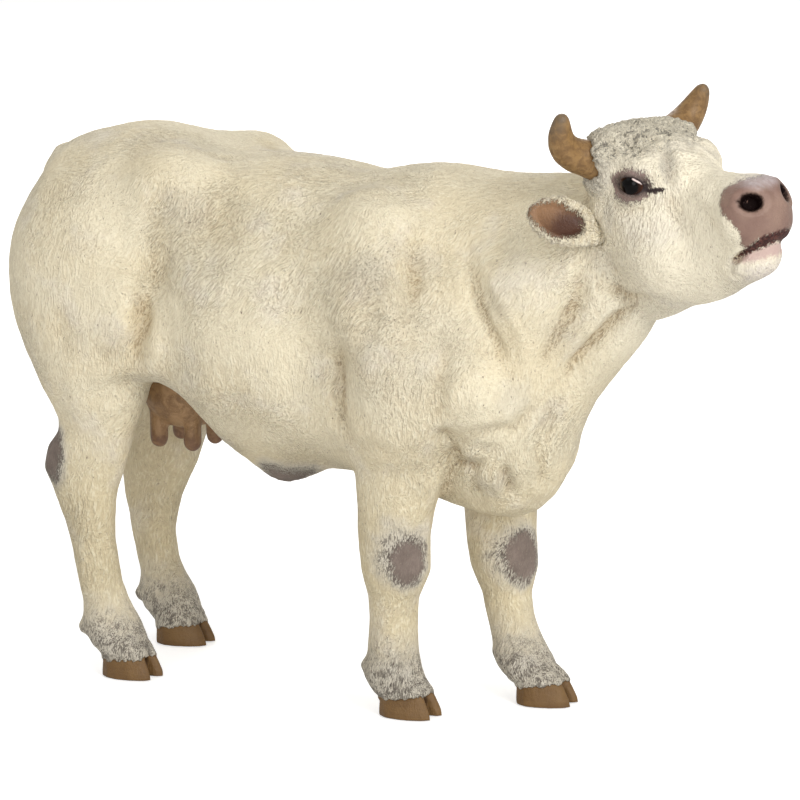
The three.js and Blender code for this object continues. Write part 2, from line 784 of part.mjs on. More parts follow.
const cow = new THREE.Group();
cow.name = "toy_cow";
cow.add(trunkPart(), legParts(), headParts());
cow.add(part("udder", joined(udderSkins(0)), paint("udder", 0x7d5b4c, 0.7)));
cow.add(part("tail", solidOf(tail(0)), coat("coat")));

// The origin lies on the ground, under the middle of the figure.
const reach = new THREE.Box3().setFromObject(cow, true);
cow.position.set(-(reach.min.x + reach.max.x) / 2, -(reach.min.y + reach.max.y) / 2, -reach.min.z);

export default cow;
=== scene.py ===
import math
from functools import partial

import bmesh
import bpy
import numpy as np
from mathutils import Matrix, Vector, noise
from mathutils.bvhtree import BVHTree


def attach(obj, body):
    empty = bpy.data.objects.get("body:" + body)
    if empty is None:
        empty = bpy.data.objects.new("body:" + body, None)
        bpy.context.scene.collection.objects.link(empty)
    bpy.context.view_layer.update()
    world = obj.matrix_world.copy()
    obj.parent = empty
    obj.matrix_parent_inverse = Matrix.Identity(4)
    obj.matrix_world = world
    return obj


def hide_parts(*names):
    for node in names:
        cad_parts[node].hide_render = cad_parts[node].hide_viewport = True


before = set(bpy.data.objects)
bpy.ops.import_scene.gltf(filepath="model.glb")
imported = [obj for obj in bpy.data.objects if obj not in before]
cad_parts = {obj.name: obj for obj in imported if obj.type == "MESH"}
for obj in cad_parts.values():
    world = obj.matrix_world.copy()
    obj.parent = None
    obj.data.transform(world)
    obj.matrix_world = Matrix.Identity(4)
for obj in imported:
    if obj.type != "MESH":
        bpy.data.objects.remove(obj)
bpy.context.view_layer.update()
mm = 0.001


# Camera, at the photo's angle
cameraSettings = {
    "around": 30,  # degrees ahead of square on to the right side
    "above": 11.8,
    "distance": 651 * mm,
    "aim": Vector((-6.75, 8.82, 45.42)) * mm,
    "lens": 185.7,
    "sensor": 36,
    "nearest": 10 * mm,
    "photoSize": 800,
    "pixelsPerMm": 6.3,  # at the figure
}


def makeCamera(settings):
    around, above = math.radians(settings["around"]), math.radians(settings["above"])
    back = Vector((math.sin(around) * math.cos(above), -math.cos(around) * math.cos(above), math.sin(above)))
    data = bpy.data.cameras.new("photoCamera")
    data.lens = settings["lens"]
    data.clip_start = settings["nearest"]
    made = bpy.data.objects.new("photoCamera", data)
    bpy.context.scene.collection.objects.link(made)
    made.matrix_world = (
        Matrix.Translation(settings["aim"] + back * settings["distance"])
        @ back.to_track_quat("Z", "Y").to_matrix().to_4x4()
    )
    bpy.context.scene.camera = made
    return made


camera = makeCamera(cameraSettings)
cameraPose = camera.matrix_world.copy()
photoReach = cameraSettings["lens"] / cameraSettings["sensor"] * cameraSettings["photoSize"]
photoMiddle = cameraSettings["photoSize"] / 2


def photoRay(x, y):
    # from the camera through a place in the photo, in pixels from its upper left corner
    aim = cameraPose.to_3x3() @ Vector((x - photoMiddle, photoMiddle - y, -photoReach))
    return cameraPose.translation, aim.normalized()


def photoPixels(points):
    # where points show in the photo
    inverse = np.array(cameraPose.inverted())
    local = points @ inverse[:3, :3].T + inverse[:3, 3]
    flat = local[:, :2] / -local[:, 2:3] * photoReach
    return np.stack((photoMiddle + flat[:, 0], photoMiddle - flat[:, 1]), axis=1)


print("camera is set")


# Numbers for whole meshes at once
def readPoints(mesh):
    points = np.empty(len(mesh.vertices) * 3)
    mesh.vertices.foreach_get("co", points)
    return points.reshape(-1, 3)


def writePoints(mesh, points):
    mesh.vertices.foreach_set("co", points.ravel())
    mesh.update()


def readNormals(mesh):
    normals = np.empty(len(mesh.vertices) * 3)
    mesh.vertex_normals.foreach_get("vector", normals)
    return normals.reshape(-1, 3)


def readEdges(mesh):
    edges = np.empty(len(mesh.edges) * 2, dtype=np.int64)
    mesh.edges.foreach_get("vertices", edges)
    return edges.reshape(-1, 2)


def relax(values, edges, rounds, share=0.5, weight=1.0):
    # every value moves a share of the way to the mean of its neighbours
    flat = values.reshape(len(values), -1).astype(float)
    first, second = edges.T
    size = len(flat)
    count = np.bincount(first, minlength=size) + np.bincount(second, minlength=size)
    pull = share * np.broadcast_to(np.asarray(weight, dtype=float), (size,))[:, None]
    for _ in range(rounds):
        mean = np.empty_like(flat)
        for column in range(flat.shape[1]):
            mean[:, column] = np.bincount(first, flat[second, column], size)
            mean[:, column] += np.bincount(second, flat[first, column], size)
        mean /= count[:, None]
        flat += pull * (mean - flat)
    return flat.reshape(values.shape)


def ease(low, high, values):
    # 0 below low and 1 above high, with a soft start and end
    share = np.clip((values - low) / (high - low), 0, 1)
    return share * share * (3 - 2 * share)


def bell(away, width):
    # 1 in the middle, and next to nothing at twice the width
    return np.exp(-(away / width) ** 2)


def grain(points, scale, stretch=(1, 1, 1), seed=0):
    # smooth noise from -1 to 1, in features of about scale, drawn out along the axes by stretch
    shrunk = points / (np.array(stretch) * scale) + seed * 17.3
    return np.fromiter((noise.noise(Vector(point)) for point in shrunk), float, len(shrunk))


def pathNearness(points, path, reach):
    # distance to a line through the path's points, and how far along the line that is, 0 to 1
    nearest = np.full(len(points), np.inf)
    along = np.zeros(len(points))
    low, high = path.min(0) - reach, path.max(0) + reach
    near = np.flatnonzero(np.all((points > low) & (points < high), axis=1))
    some = points[near]
    best = np.full(len(some), np.inf)
    place = np.zeros(len(some))
    for number, (start, end) in enumerate(zip(path[:-1], path[1:])):
        step = end - start
        share = np.clip(((some - start) @ step) / max(step @ step, 1e-12), 0, 1)
        away = np.linalg.norm(some - start - share[:, None] * step, axis=1)
        closer = away < best
        best[closer] = away[closer]
        place[closer] = (number + share[closer]) / (len(path) - 1)
    nearest[near] = best
    along[near] = place
    return nearest, along


def lineNearness(pixels, line, reach):
    # the same for a line across the photo, in pixels
    flat = np.pad(np.array(line, dtype=float), ((0, 0), (0, 1)))
    return pathNearness(np.pad(pixels, ((0, 0), (0, 1))), flat, reach)


def oval(pixels, place, half):
    # 0 in the middle of an oval on the photo, and 1 at its edge
    return np.hypot(*((pixels - place) / half).T)


def inOutline(pixels, outline, reach=40):
    # depth in mm inside a closed outline on the photo, below 0 outside it
    corners = np.array(outline, dtype=float)
    low, high = corners.min(0) - reach, corners.max(0) + reach
    near = np.flatnonzero(np.all((pixels > low) & (pixels < high), axis=1))
    some = pixels[near]
    best = np.full(len(some), np.inf)
    inside = np.zeros(len(some), dtype=bool)
    for start, end in zip(corners, np.roll(corners, -1, axis=0)):
        step = end - start
        share = np.clip(((some - start) @ step) / (step @ step), 0, 1)
        best = np.minimum(best, np.linalg.norm(some - start - share[:, None] * step, axis=1))
        crossed = (start[1] > some[:, 1]) != (end[1] > some[:, 1])
        rise = step[1] if step[1] else 1e-9
        inside ^= crossed & (some[:, 0] < start[0] + (some[:, 1] - start[1]) * step[0] / rise)
    depth = np.full(len(pixels), -float(reach))
    depth[near] = np.where(inside, best, -best)
    return depth / cameraSettings["pixelsPerMm"]


def paint(mesh, name, values):
    layer = mesh.attributes.get(name) or mesh.attributes.new(name, "FLOAT", "POINT")
    layer.data.foreach_set("value", np.clip(values, 0, 1).astype(np.float32))


# Mesh tools
meshSettings = {
    "merge": 0.002 * mm,
    "sharpAngle": math.radians(64),
}


def meshObject(name, bm):
    mesh = bpy.data.meshes.new(name)
    bm.to_mesh(mesh)
    bm.free()
    made = bpy.data.objects.new(name, mesh)
    bpy.context.scene.collection.objects.link(made)
    return made


def solidCopy(name, nodeNames, clips=()):
    # merged copies of CAD nodes, each cut back to the near side of some planes and closed there
    whole = bmesh.new()
    for nodeName in nodeNames:
        bm = bmesh.new()
        bm.from_mesh(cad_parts[nodeName].data)
        bmesh.ops.remove_doubles(bm, verts=bm.verts, dist=meshSettings["merge"])
        for point, normal in clips:
            everything = bm.verts[:] + bm.edges[:] + bm.faces[:]
            bmesh.ops.bisect_plane(bm, geom=everything, plane_co=point, plane_no=normal, clear_outer=True)
            bmesh.ops.holes_fill(bm, edges=[edge for edge in bm.edges if edge.is_boundary], sides=0)
        part = bpy.data.meshes.new("part")
        bm.to_mesh(part)
        bm.free()
        whole.from_mesh(part)
        bpy.data.meshes.remove(part)
    return meshObject(name, whole)


def bakeModifiers(obj):
    baked = bpy.data.meshes.new_from_object(obj.evaluated_get(bpy.context.evaluated_depsgraph_get()))
    old = obj.data
    obj.modifiers.clear()
    obj.data = baked
    bpy.data.meshes.remove(old)


def fuse(obj, voxel, seam=0.0):
    # swells the copies until their glue seams close, remeshes them as one skin, and shrinks it back
    if seam:
        grow = obj.modifiers.new("grow", "DISPLACE")
        grow.mid_level = 0
        grow.strength = seam
    skin = obj.modifiers.new("skin", "REMESH")
    skin.mode = "VOXEL"
    skin.voxel_size = voxel
    if seam:
        shrink = obj.modifiers.new("shrink", "DISPLACE")
        shrink.mid_level = 0
        shrink.strength = -seam
    bakeModifiers(obj)


def smoothCopy(nodeName, settings):
    # one CAD node as a skin of its own
    made = solidCopy(nodeName + "Skin", [nodeName])
    fuse(made, settings["voxel"])
    edges = readEdges(made.data)
    points = relax(readPoints(made.data), edges, settings["rounds"])
    writePoints(made.data, points)
    return made, points, edges


def cutAndClose(obj, cuts):
    # each cut takes away what lies beyond a plane, only among the faces that its window accepts
    bm = bmesh.new()
    bm.from_mesh(obj.data)
    for point, normal, window in cuts:
        faces = [face for face in bm.faces if window is None or window(face.calc_center_median())]
        edges = list({edge for face in faces for edge in face.edges})
        verts = list({vert for face in faces for vert in face.verts})
        bmesh.ops.bisect_plane(bm, geom=verts + edges + faces, plane_co=point, plane_no=normal, clear_outer=True)
        loose = [vert for vert in bm.verts if not vert.link_faces]
        bmesh.ops.delete(bm, geom=loose, context="VERTS")
        bmesh.ops.holes_fill(bm, edges=[edge for edge in bm.edges if edge.is_boundary], sides=0)
    bmesh.ops.triangulate(bm, faces=[face for face in bm.faces if len(face.verts) > 4])
    bm.to_mesh(obj.data)
    bm.free()


def finishPiece(obj, nodeNames, material):
    # smooth shading with sharp rims where a piece was cut
    obj.data.shade_smooth()
    obj.data.set_sharp_from_angle(angle=meshSettings["sharpAngle"])
    obj.data.materials.clear()
    obj.data.materials.append(material)
    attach(obj, "root")
    if nodeNames:
        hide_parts(*nodeNames)
    print(obj.name, len(obj.data.polygons), "faces")


# Where the head sits and how it is turned, as in the CAD
headSettings = {
    "place": Vector((39.565, -1.804, 81.5)) * mm,
    "yaw": -22,
    "pitch": -7,
    "roll": 7,
    "seamTop": Vector((-3.0, 0, 9.0)) * mm,  # two places on the glue seam's plane, in the head's own frame
    "seamLow": Vector((4.5, 0, -14.0)) * mm,
    "copyFrom": -10 * mm,  # along the head, and the height in the figure, from where the skin is copied
    "copyAbove": 50 * mm,
}
headPose = Matrix.Translation(headSettings["place"])
for axisName, turn in (("Z", "yaw"), ("Y", "pitch"), ("X", "roll")):
    headPose = headPose @ Matrix.Rotation(math.radians(headSettings[turn]), 4, axisName)


def toHead(points):
    # places in the head's own frame, in millimetres
    inverse = np.array(headPose.inverted())
    return (points @ inverse[:3, :3].T + inverse[:3, 3]) / mm


def fromHead(local):
    pose = np.array(headPose)
    return local * mm @ pose[:3, :3].T + pose[:3, 3]


def nearSide(points):
    # head places brought over to the side that the photo shows
    local = toHead(points)
    local[:, 1] = -np.abs(local[:, 1])
    return local, photoPixels(fromHead(local))


def sideSigns(points):
    # -1 on the left half of the head, 1 on the right
    return np.where(toHead(points)[:, 1] > 0, -1, 1)


def headSeam():
    slope = (headSettings["seamLow"] - headSettings["seamTop"]).normalized()
    normal = Vector((0, 1, 0)).cross(slope)
    if normal.x < 0:
        normal.negate()
    return headPose @ headSettings["seamTop"], (headPose.to_3x3() @ normal).normalized()


# The skin of trunk, legs and head, and the forms that are cut and raised on it
skinSettings = {
    "trunkVoxel": 0.5 * mm,
    "legVoxel": 0.22 * mm,
    "headVoxel": 0.23 * mm,
    "seam": 0.2 * mm,
    "softness": 1.1 * mm,
    "legSeams": {"foreleg_right": 33.0, "foreleg_left": 32.4, "hindleg_right": 39.96, "hindleg_left": 38.7},
    "clumpHeight": 0.06 * mm,
    # where the smoothing is weaker: by what share, and between which heights or places along the head, in mm
    "heldOnLegs": (0.72, 44, 34),
    "heldOnFeet": (0.6, 7.5, 5.5),
    "heldOnHead": (0.72, -4, 3),
    "grooveReach": 4.5,  # this and the rims are in widths of the groove
    "rimPlace": 2.1,
    "rimWidth": 0.8,
    "taper": (-0.03, 0.3),
    "deepGroove": 0.9 * mm,  # from this depth on it takes all of the painted shade in creases
    # paths across the photo in pixels, then depth, width and the height of the rims, in millimetres
    "grooves": {
        "thighFront": (((168, 170), (161, 205), (155, 244), (151, 280), (147, 310), (144, 340)), 0.5, 1.7, 0.15),
        "thighCrease": (((126, 280), (138, 300), (141, 322), (137, 345), (133, 366), (127, 388)), 0.7, 1.3, 0.1),
        "thighLow": (((138, 338), (120, 348), (101, 356), (84, 354)), 0.45, 1.6, 0.15),
        "flankFold": (((170, 236), (166, 280), (165, 325), (169, 364), (174, 384)), 0.2, 1.2, 0.08),
        "bladeBack": (((386, 240), (378, 272), (365, 321), (350, 358), (343, 392)), 0.4, 2.0, 0.15),
        "behindElbow": (((345, 330), (338, 360), (341, 419), (352, 446), (357, 462)), 0.6, 1.4, 0.15),
        "shoulderBack": (((420, 212), (417, 240), (416, 270), (411, 300), (403, 330), (398, 355)), 0.42, 1.5, 0.15),
        "shoulderFront": (((442, 236), (441, 270), (440, 318)), 0.25, 1.2, 0.12),
        "neckBack": (((466, 236), (471, 268), (481, 302), (497, 337), (510, 370), (518, 410)), 0.42, 1.1, 0.15),
        "neckBackTwo": (((480, 276), (493, 302), (511, 336), (524, 372)), 0.35, 0.75, 0.2),
        "neckMiddle": (((586, 240), (579, 295), (557, 338), (534, 378)), 0.38, 1.2, 0.15),
        "neckFront": (((652, 298), (631, 306), (613, 321), (594, 340), (575, 360), (556, 386)), 0.7, 0.95, 0.3),
        "neckLow": (((556, 386), (548, 418), (545, 452)), 0.3, 1.4, 0.1),
        "jawLine": (((590, 262), (603, 284), (626, 296), (660, 297)), 0.5, 0.9, 0.15),
        "armFront": (((448, 340), (443, 362), (440, 386), (437, 410), (441, 430)), 0.42, 1.2, 0.15),
        "pointFold": (((454, 438), (466, 435), (492, 430), (515, 428), (529, 412), (538, 391)), 0.5, 1.1, 0.2),
        "armFold": (((455, 456), (451, 474), (446, 492)), 0.3, 1.0, 0.1),
        "knobUnder": (((456, 455), (465, 464), (477, 465), (487, 455)), 0.55, 0.6, 0.0),
        "brisketFold": (((504, 460), (507, 478), (511, 499)), 0.8, 0.8, 0.25),
        "brisketFoldTwo": (((538, 438), (541, 465), (543, 490)), 0.6, 0.8, 0.2),
        "brisketFoldNear": (((477, 463), (475, 480), (477, 497)), 0.45, 0.8, 0.15),
        "elbowFold": (((352, 452), (372, 446), (395, 452)), 0.3, 1.1, 0.1),
        "wrinkleOne": (((457, 334), (472, 331), (490, 340)), 0.25, 0.5, 0.15),
        "wrinkleTwo": (((456, 342), (473, 339), (493, 349)), 0.25, 0.5, 0.15),
        "wrinkleThree": (((457, 351), (474, 348), (494, 358)), 0.22, 0.5, 0.15),
        "thighBack": (((60, 300), (62, 330), (74, 362)), 0.4, 2.2, 0.0),
        "hipEdge": (((262, 139), (272, 147), (282, 152)), 0.35, 1.2, 0.1),
    },
    # places in the photo, then the radius and the height, in millimetres
    "swells": {
        "shoulderPoint": ((476, 396), 4.2, 1.0),
        "smallKnob": ((471, 449), 1.6, 1.5),
        "armHollow": ((446, 434), 2.4, 1.9),
        "creaseFill": ((459, 460), 1.6, 0.5),
        "creaseFillLow": ((473, 474), 1.6, 0.5),
        "farArm": ((491, 477), 2.3, 0.9),
        "brisketRidge": ((522, 462), 2.6, 0.9),
        "flankRidge": ((158, 300), 2.6, 0.25),
        "flankRidgeLow": ((154, 345), 2.6, 0.25),
        "flankHollow": ((208, 210), 4.6, -0.7),
        "ribHollow": ((362, 288), 5.0, -0.5),
        "thighMuscle": ((100, 230), 9.0, 0.4),
        "thighEdge": ((128, 290), 4.0, 0.4),
        "upperArm": ((388, 380), 6.5, 0.6),
        "armLow": ((400, 440), 5.0, 0.35),
        "neckRidge": ((495, 322), 1.7, 0.3),
        "neckSwell": ((530, 300), 5.0, 0.4),
        "rumpEdge": ((58, 163), 4.5, 0.9),
    },
}


def makeSkin(skinName, nodeNames, voxel, clips=()):
    obj = solidCopy(skinName, nodeNames, clips)
    fuse(obj, voxel, skinSettings["seam"])
    points = readPoints(obj.data)
    rounds = round(4 * (skinSettings["softness"] / voxel) ** 2)
    headward = toHead(points)[:, 0]
    height = points[:, 2] / mm
    keep = 1.0
    for name, values in (("heldOnLegs", height), ("heldOnFeet", height), ("heldOnHead", headward)):
        share, low, high = skinSettings[name]
        keep = keep * (1 - share * ease(low, high, values))
    points = relax(points, readEdges(obj.data), rounds, 0.5, keep)
    writePoints(obj.data, points)
    return obj


wholeSkin = makeSkin("trunkSkin", ["trunk", "head", *skinSettings["legSeams"]], skinSettings["trunkVoxel"])
wholeTree = BVHTree.FromObject(wholeSkin, bpy.context.evaluated_depsgraph_get())
print("skin is fused,", len(wholeSkin.data.polygons), "faces")


def onSkin(pixel):
    place, _, _, _ = wholeTree.ray_cast(*photoRay(*pixel))
    return np.array(place) if place else None


def castPath(pixels, step=5):
    # a path across the photo laid on the skin
    places = []
    for (x0, y0), (x1, y1) in zip(pixels[:-1], pixels[1:]):
        count = max(1, round(math.hypot(x1 - x0, y1 - y0) / step))
        places += [onSkin((x0 + (x1 - x0) * n / count, y0 + (y1 - y0) * n / count)) for n in range(count)]
    places.append(onSkin(pixels[-1]))
    return np.array([place for place in places if place is not None])


def otherSide(places):
    # the same places on the figure's left, brought onto the skin
    local = toHead(places)
    if local[:, 0].mean() > 0:
        local[:, 1] *= -1
        mirrored = fromHead(local)
    else:
        mirrored = places * np.array((1, -1, 1))
    return np.array([wholeTree.find_nearest(Vector(place))[0] for place in mirrored])


grooves = []
for pixels, depth, width, rim in skinSettings["grooves"].values():
    path = castPath(pixels)
    grooves += [(side, depth * mm, width * mm, rim * mm) for side in (path, otherSide(path))]
swells = []
for pixel, radius, height in skinSettings["swells"].values():
    place = onSkin(pixel)
    swells += [(side, radius * mm, height * mm) for side in (place, otherSide(place[None])[0])]


def sculptForms(points):
    # how far each point moves along its normal, and how deep it lies in a groove
    move = np.zeros(len(points))
    inGroove = np.zeros(len(points))
    for path, depth, width, rim in grooves:
        away, along = pathNearness(points, path, skinSettings["grooveReach"] * width)
        taper = ease(*skinSettings["taper"], np.minimum(along, 1 - along))
        cut = bell(away, width) * taper
        move -= depth * cut
        move += rim * bell(away - skinSettings["rimPlace"] * width, skinSettings["rimWidth"] * width) * taper
        inGroove = np.maximum(inGroove, cut * min(1, depth / skinSettings["deepGroove"]))
    for place, radius, height in swells:
        away = np.linalg.norm(points - place, axis=1)
        move += height * bell(away, radius)
        # hollows also take painted shade
        if height < 0:
            inGroove = np.maximum(inGroove, 0.75 * bell(away, radius))
    return move, inGroove


# Head forms, measured on the photo's side and mirrored
faceSettings = {
    "eyeCentre": (9.06, -6.95, 4.95),
    "eyeRadius": 2.15,
    "eyeMiddle": (628.8, 186.5),  # middle of the pupil in the photo
    "eyeHalfLength": 2.35,
    "eyeHalfHeight": 1.34,
    "eyeShift": 0.2,  # mm, from the pupil towards the inner corner
    "eyeSlant": 0.14,  # the inner corner lies lower
    "lidHeight": 0.36,
    "lidRing": ((629.5, 186), (19.0, 16.5)),
    "tearLine": ((640, 188), (650, 191), (663, 190)),
    "tearReach": 12,
    "nostril": ((751, 202.5), (13.0, 9.8)),  # place and half sizes in the photo
    "nostrilCorner": ((740, 201.5), (8, 3.4)),
    "nostrilDepth": 1.4,  # mm, and the place along the head from which nostrils are pressed and painted
    "nostrilFrom": 24,
    "hornRoot": (2.2, -8.2, 8.0),
    # painted areas: from which place along the head, in mm, and how soft their edges are
    "areas": {"muzzle": (20, 2), "slit": (21, 1.5), "lip": (21, 2)},
    "muzzle": ((722, 214), (719, 203), (723, 190), (735, 182), (755, 177), (775, 175), (800, 175), (800, 244),
               (783, 232), (760, 238), (748, 249), (742, 246), (740, 232), (731, 222)),
    "slit": ((735, 259), (746, 248), (760, 238), (781, 229), (800, 224), (800, 231), (781, 239), (765, 247),
             (748, 254)),
    "lip": ((736, 262), (748, 251), (766, 246), (783, 238), (800, 232), (800, 250), (782, 255), (762, 260),
            (748, 262)),
    "grooves": {
        "browCrease": (((664, 146), (667, 160), (670, 174), (667, 188)), 0.75, 0.8, 0.25),
        "browCreaseFar": (((668, 148), (690, 149), (708, 152)), 0.3, 0.7, 0.15),
        "underEye": (((610, 206), (628, 212), (650, 207)), 0.25, 0.8, 0.1),
        "cheekEdge": (((607, 210), (604, 228), (597, 246), (590, 258)), 0.7, 0.9, 0.2),
        "noseSide": (((690, 205), (706, 214), (716, 232)), 0.25, 1.0, 0.1),
        "mouthCorner": (((746, 250), (738, 258), (728, 270)), 0.45, 0.5, 0.2),
        "chinFold": (((731, 272), (742, 279), (756, 282)), 0.25, 0.7, 0.1),
    },
    "swells": {
        "brow": ((640, 160), 2.4, 0.35),
        "cheek": ((640, 255), 5.5, 0.4),
        "jowl": ((690, 262), 4.0, 0.3),
        "nostrilTop": ((753, 188), 1.8, 0.3),
        "chin": ((762, 272), 2.2, 0.35),
        "earRoot": ((594, 214), 2.2, 0.5),
        "earEdge": ((601, 216), 1.7, 0.9),
        "earEdgeLow": ((600, 234), 1.9, 1.0),
        "earCorner": ((603, 244), 1.5, 0.9),
        "hornCollar": ((600, 156), 2.4, 0.9),
        "hornCollarLow": ((594, 178), 2.2, 0.9),
        "pollTop": ((640, 120), 3.6, -0.3),
    },
    # these aren't mirrored: the poll leans towards the near horn
    "leans": {
        "nearPoll": ((610, 132), 3.0, 0.6),
        "farPoll": ((668, 118), 3.6, -1.1),
    },
    # grey washes on the face: place and half sizes in the photo, strength
    "washes": {
        "brow": ((667, 164), (9, 24), 0.62),
        "browHaze": ((670, 165), (15, 28), 0.32),
        "mouthSide": ((733, 264), (9, 9), 0.5),
        # painted shade in the furrow between ear and cheek
        "earFurrow": ((609, 214), (6, 24), 0.4),
    },
    # thin veils of pink, the same way
    "veils": {
        "noseTop": ((766, 180), (30, 9), 0.8),
        "chin": ((768, 274), (30, 13), 0.6),
    },
    "veilFrom": 18,
}
eyeCentre = np.array(faceSettings["eyeCentre"])


def headCast(pixel, tree):
    place, _, _, _ = tree.ray_cast(*photoRay(*pixel))
    return toHead(np.array(place)[None])[0] if place else None


def eyeAim():
    # from the near eye's centre to the place on the eyeball that the photo shows as the pupil's middle
    start, ray = photoRay(*faceSettings["eyeMiddle"])
    start = toHead(np.array(start)[None])[0]
    ray = np.array(ray) @ np.array(headPose.to_3x3())
    towards = eyeCentre - start
    closest = towards @ ray
    miss = towards @ towards - closest ** 2
    hit = start + ray * (closest - math.sqrt(max(0, faceSettings["eyeRadius"] ** 2 - miss)))
    return (hit - eyeCentre) / faceSettings["eyeRadius"]


def eyeFrame():
    # across, up and out axes at the near eye, in the head's own frame
    out = eyeAim()
    out = out / np.linalg.norm(out)
    across = np.cross((0, 0, 1), out)
    across /= np.linalg.norm(across)
    across = across * np.sign(across[0])
    up = np.cross(out, across)
    return across, up * np.sign(up[2]), out


def eyePlaces(local):
    # almond measure (1 at the lid's edge), distance from the eye's centre and the outward share
    across, up, out = eyeFrame()
    fromCentre = local - eyeCentre
    sideways = fromCentre @ across - faceSettings["eyeShift"]
    upwards = fromCentre @ up + faceSettings["eyeSlant"] * sideways
    length, height = np.abs(sideways) / faceSettings["eyeHalfLength"], np.abs(upwards) / faceSettings["eyeHalfHeight"]
    almond = (length ** 1.5 + height ** 2) ** 0.5
    return almond, np.linalg.norm(fromCentre, axis=1), fromCentre @ out


def sculptHead(obj):
    mesh = obj.data
    tree = BVHTree.FromObject(obj, bpy.context.evaluated_depsgraph_get())
    points, edges = readPoints(mesh), readEdges(mesh)
    local, pixels = nearSide(points)
    normals = relax(readNormals(mesh), edges, 3)
    move = np.zeros(len(points))
    front = ease(-3, 0, local[:, 0])
    for pixelPath, depth, width, rim in faceSettings["grooves"].values():
        places = [headCast(pixel, tree) for pixel in pixelPath]
        path = np.array([place for place in places if place is not None])
        away, along = pathNearness(local, path, 5 * width)
        taper = np.clip(np.minimum(along, 1 - along) * 5 + 0.15, 0, 1)
        move -= depth * bell(away, width) * taper
        move += rim * bell(away - 2 * width, skinSettings["rimWidth"] * width) * taper
    for pixel, radius, height in faceSettings["swells"].values():
        move += height * bell(np.linalg.norm(local - headCast(pixel, tree), axis=1), radius)
    for pixel, radius, height in faceSettings["leans"].values():
        move += height * bell(np.linalg.norm(toHead(points) - headCast(pixel, tree), axis=1), radius)
    pit = oval(pixels, *faceSettings["nostril"])
    facing = local[:, 0] > faceSettings["nostrilFrom"]
    move -= faceSettings["nostrilDepth"] * ease(1.05, 0.35, pit) * facing
    move += 0.22 * bell(pit - 1.45, 0.3) * facing
    # curls on the poll
    curl = ease(7.0, 9.5, local[:, 2]) * ease(15, 9, local[:, 0])
    curl = np.maximum(curl, 0.8 * ease(5.8, 2.8, local[:, 0]) * ease(1, 5, local[:, 2]) * front)
    bend = 1.1 * mm * np.stack([grain(points, 1.9 * mm, seed=seed) for seed in (1, 2, 4)], axis=1)
    strands = 1 - 2.4 * np.abs(grain(points + bend, 1.05 * mm, (1, 1.5, 1.5), 3))
    strands += 0.35 * grain(points, 0.45 * mm, seed=5)
    move += 0.42 * curl * (strands - 0.25)
    move += 0.04 * grain(points, 1.3 * mm, seed=8) * (1 - curl)
    bodyMove, inGroove = sculptForms(points)
    moved = points + normals * (move * front * mm + bodyMove)[:, None]
    # lids stand round the eyeball and the skin sinks behind it
    sided, _ = nearSide(moved)
    almond, away, out = eyePlaces(sided)
    radius = faceSettings["eyeRadius"]
    aimAt = radius - 0.5 + (faceSettings["lidHeight"] + 0.5) * ease(0.86, 1.06, almond)
    hold = ease(1.75, 1.2, almond) * (out > 0.3) * ease(4.2, 3.4, away)
    spoke = (sided - eyeCentre) / np.maximum(away, 1e-6)[:, None]
    sided += spoke * ((aimAt - away) * hold)[:, None]
    sided[:, 1] *= sideSigns(moved)
    writePoints(mesh, fromHead(sided))
    paint(mesh, "curl", curl)
    paint(mesh, "curlPit", curl * ease(0.45, -0.25, strands))
    return inGroove


print("forms are laid out")


# Paint masks for the coat, all 0 to 1
coatMarks = {
    "knees": (((409, 563), 2.9), ((524, 556), 3.1)),  # bare skin: place in the photo, radius in mm
    "kneeFlatness": 0.78,
    "hock": {"place": (-56.65, 16.0, 36.3), "leftShift": (-1.2, 0, -1.0), "radius": 2.664, "flatness": 0.62},
    "navelFlap": ((264, 466), (284, 471), (300, 472), (313, 471), (306, 478), (298, 500), (274, 500), (269, 476)),
    # grey washes: place in the photo, radius in mm, strength
    "kneeWashes": {
        "right": ((402, 556), 6.2, 1.0),
        "left": ((514, 556), 5.8, 1.0),
        "side": ((380, 566), 2.6, 0.7),
        "above": ((392, 528), 3.0, 0.62),
    },
    # and those that are mirrored
    "washes": {
        "rib": ((366, 282), 5.5, 0.42),
        "flank": ((186, 212), 5.0, 0.36),
        "shoulder": ((425, 262), 3.5, 0.28),
        "neck": ((505, 300), 4.2, 0.3),
        "neckLow": ((513, 400), 4.0, 0.34),
        "throat": ((560, 330), 4.5, 0.25),
        "hock": ((123, 486), 2.0, 0.8),
        "thigh": ((112, 338), 4.0, 0.3),
        "jaw": ((606, 262), 2.6, 0.35),
        "shoulderTone": ((402, 345), 12.0, 0.26),
    },
    # hem of hair over the hooves: height and reach in mm, rise towards the toes, the middle and the side of each foot
    "hem": 3.0,
    "hemReach": 9,
    "hemRise": 0.11,
    "feet": ((3.8, -1), (18.6, 1), (-45.4, -1), (-49.4, 1)),
}


def hoofHem(points):
    # height in mm of the shaggy hem of hair over the hooves, a little higher at the toes
    ragged = grain(points, 1.1 * mm, seed=31)
    fine = grain(points, 0.5 * mm, (1, 1, 3), 12)
    toes = np.zeros(len(points))
    for middle, side in coatMarks["feet"]:
        ahead = points[:, 0] / mm - middle
        near = (np.abs(ahead) < coatMarks["hemReach"]) & (points[:, 1] * side > 0)
        toes = np.where(near, ahead * coatMarks["hemRise"], toes)
    return coatMarks["hem"] + toes + 0.3 * ragged + 0.4 * fine


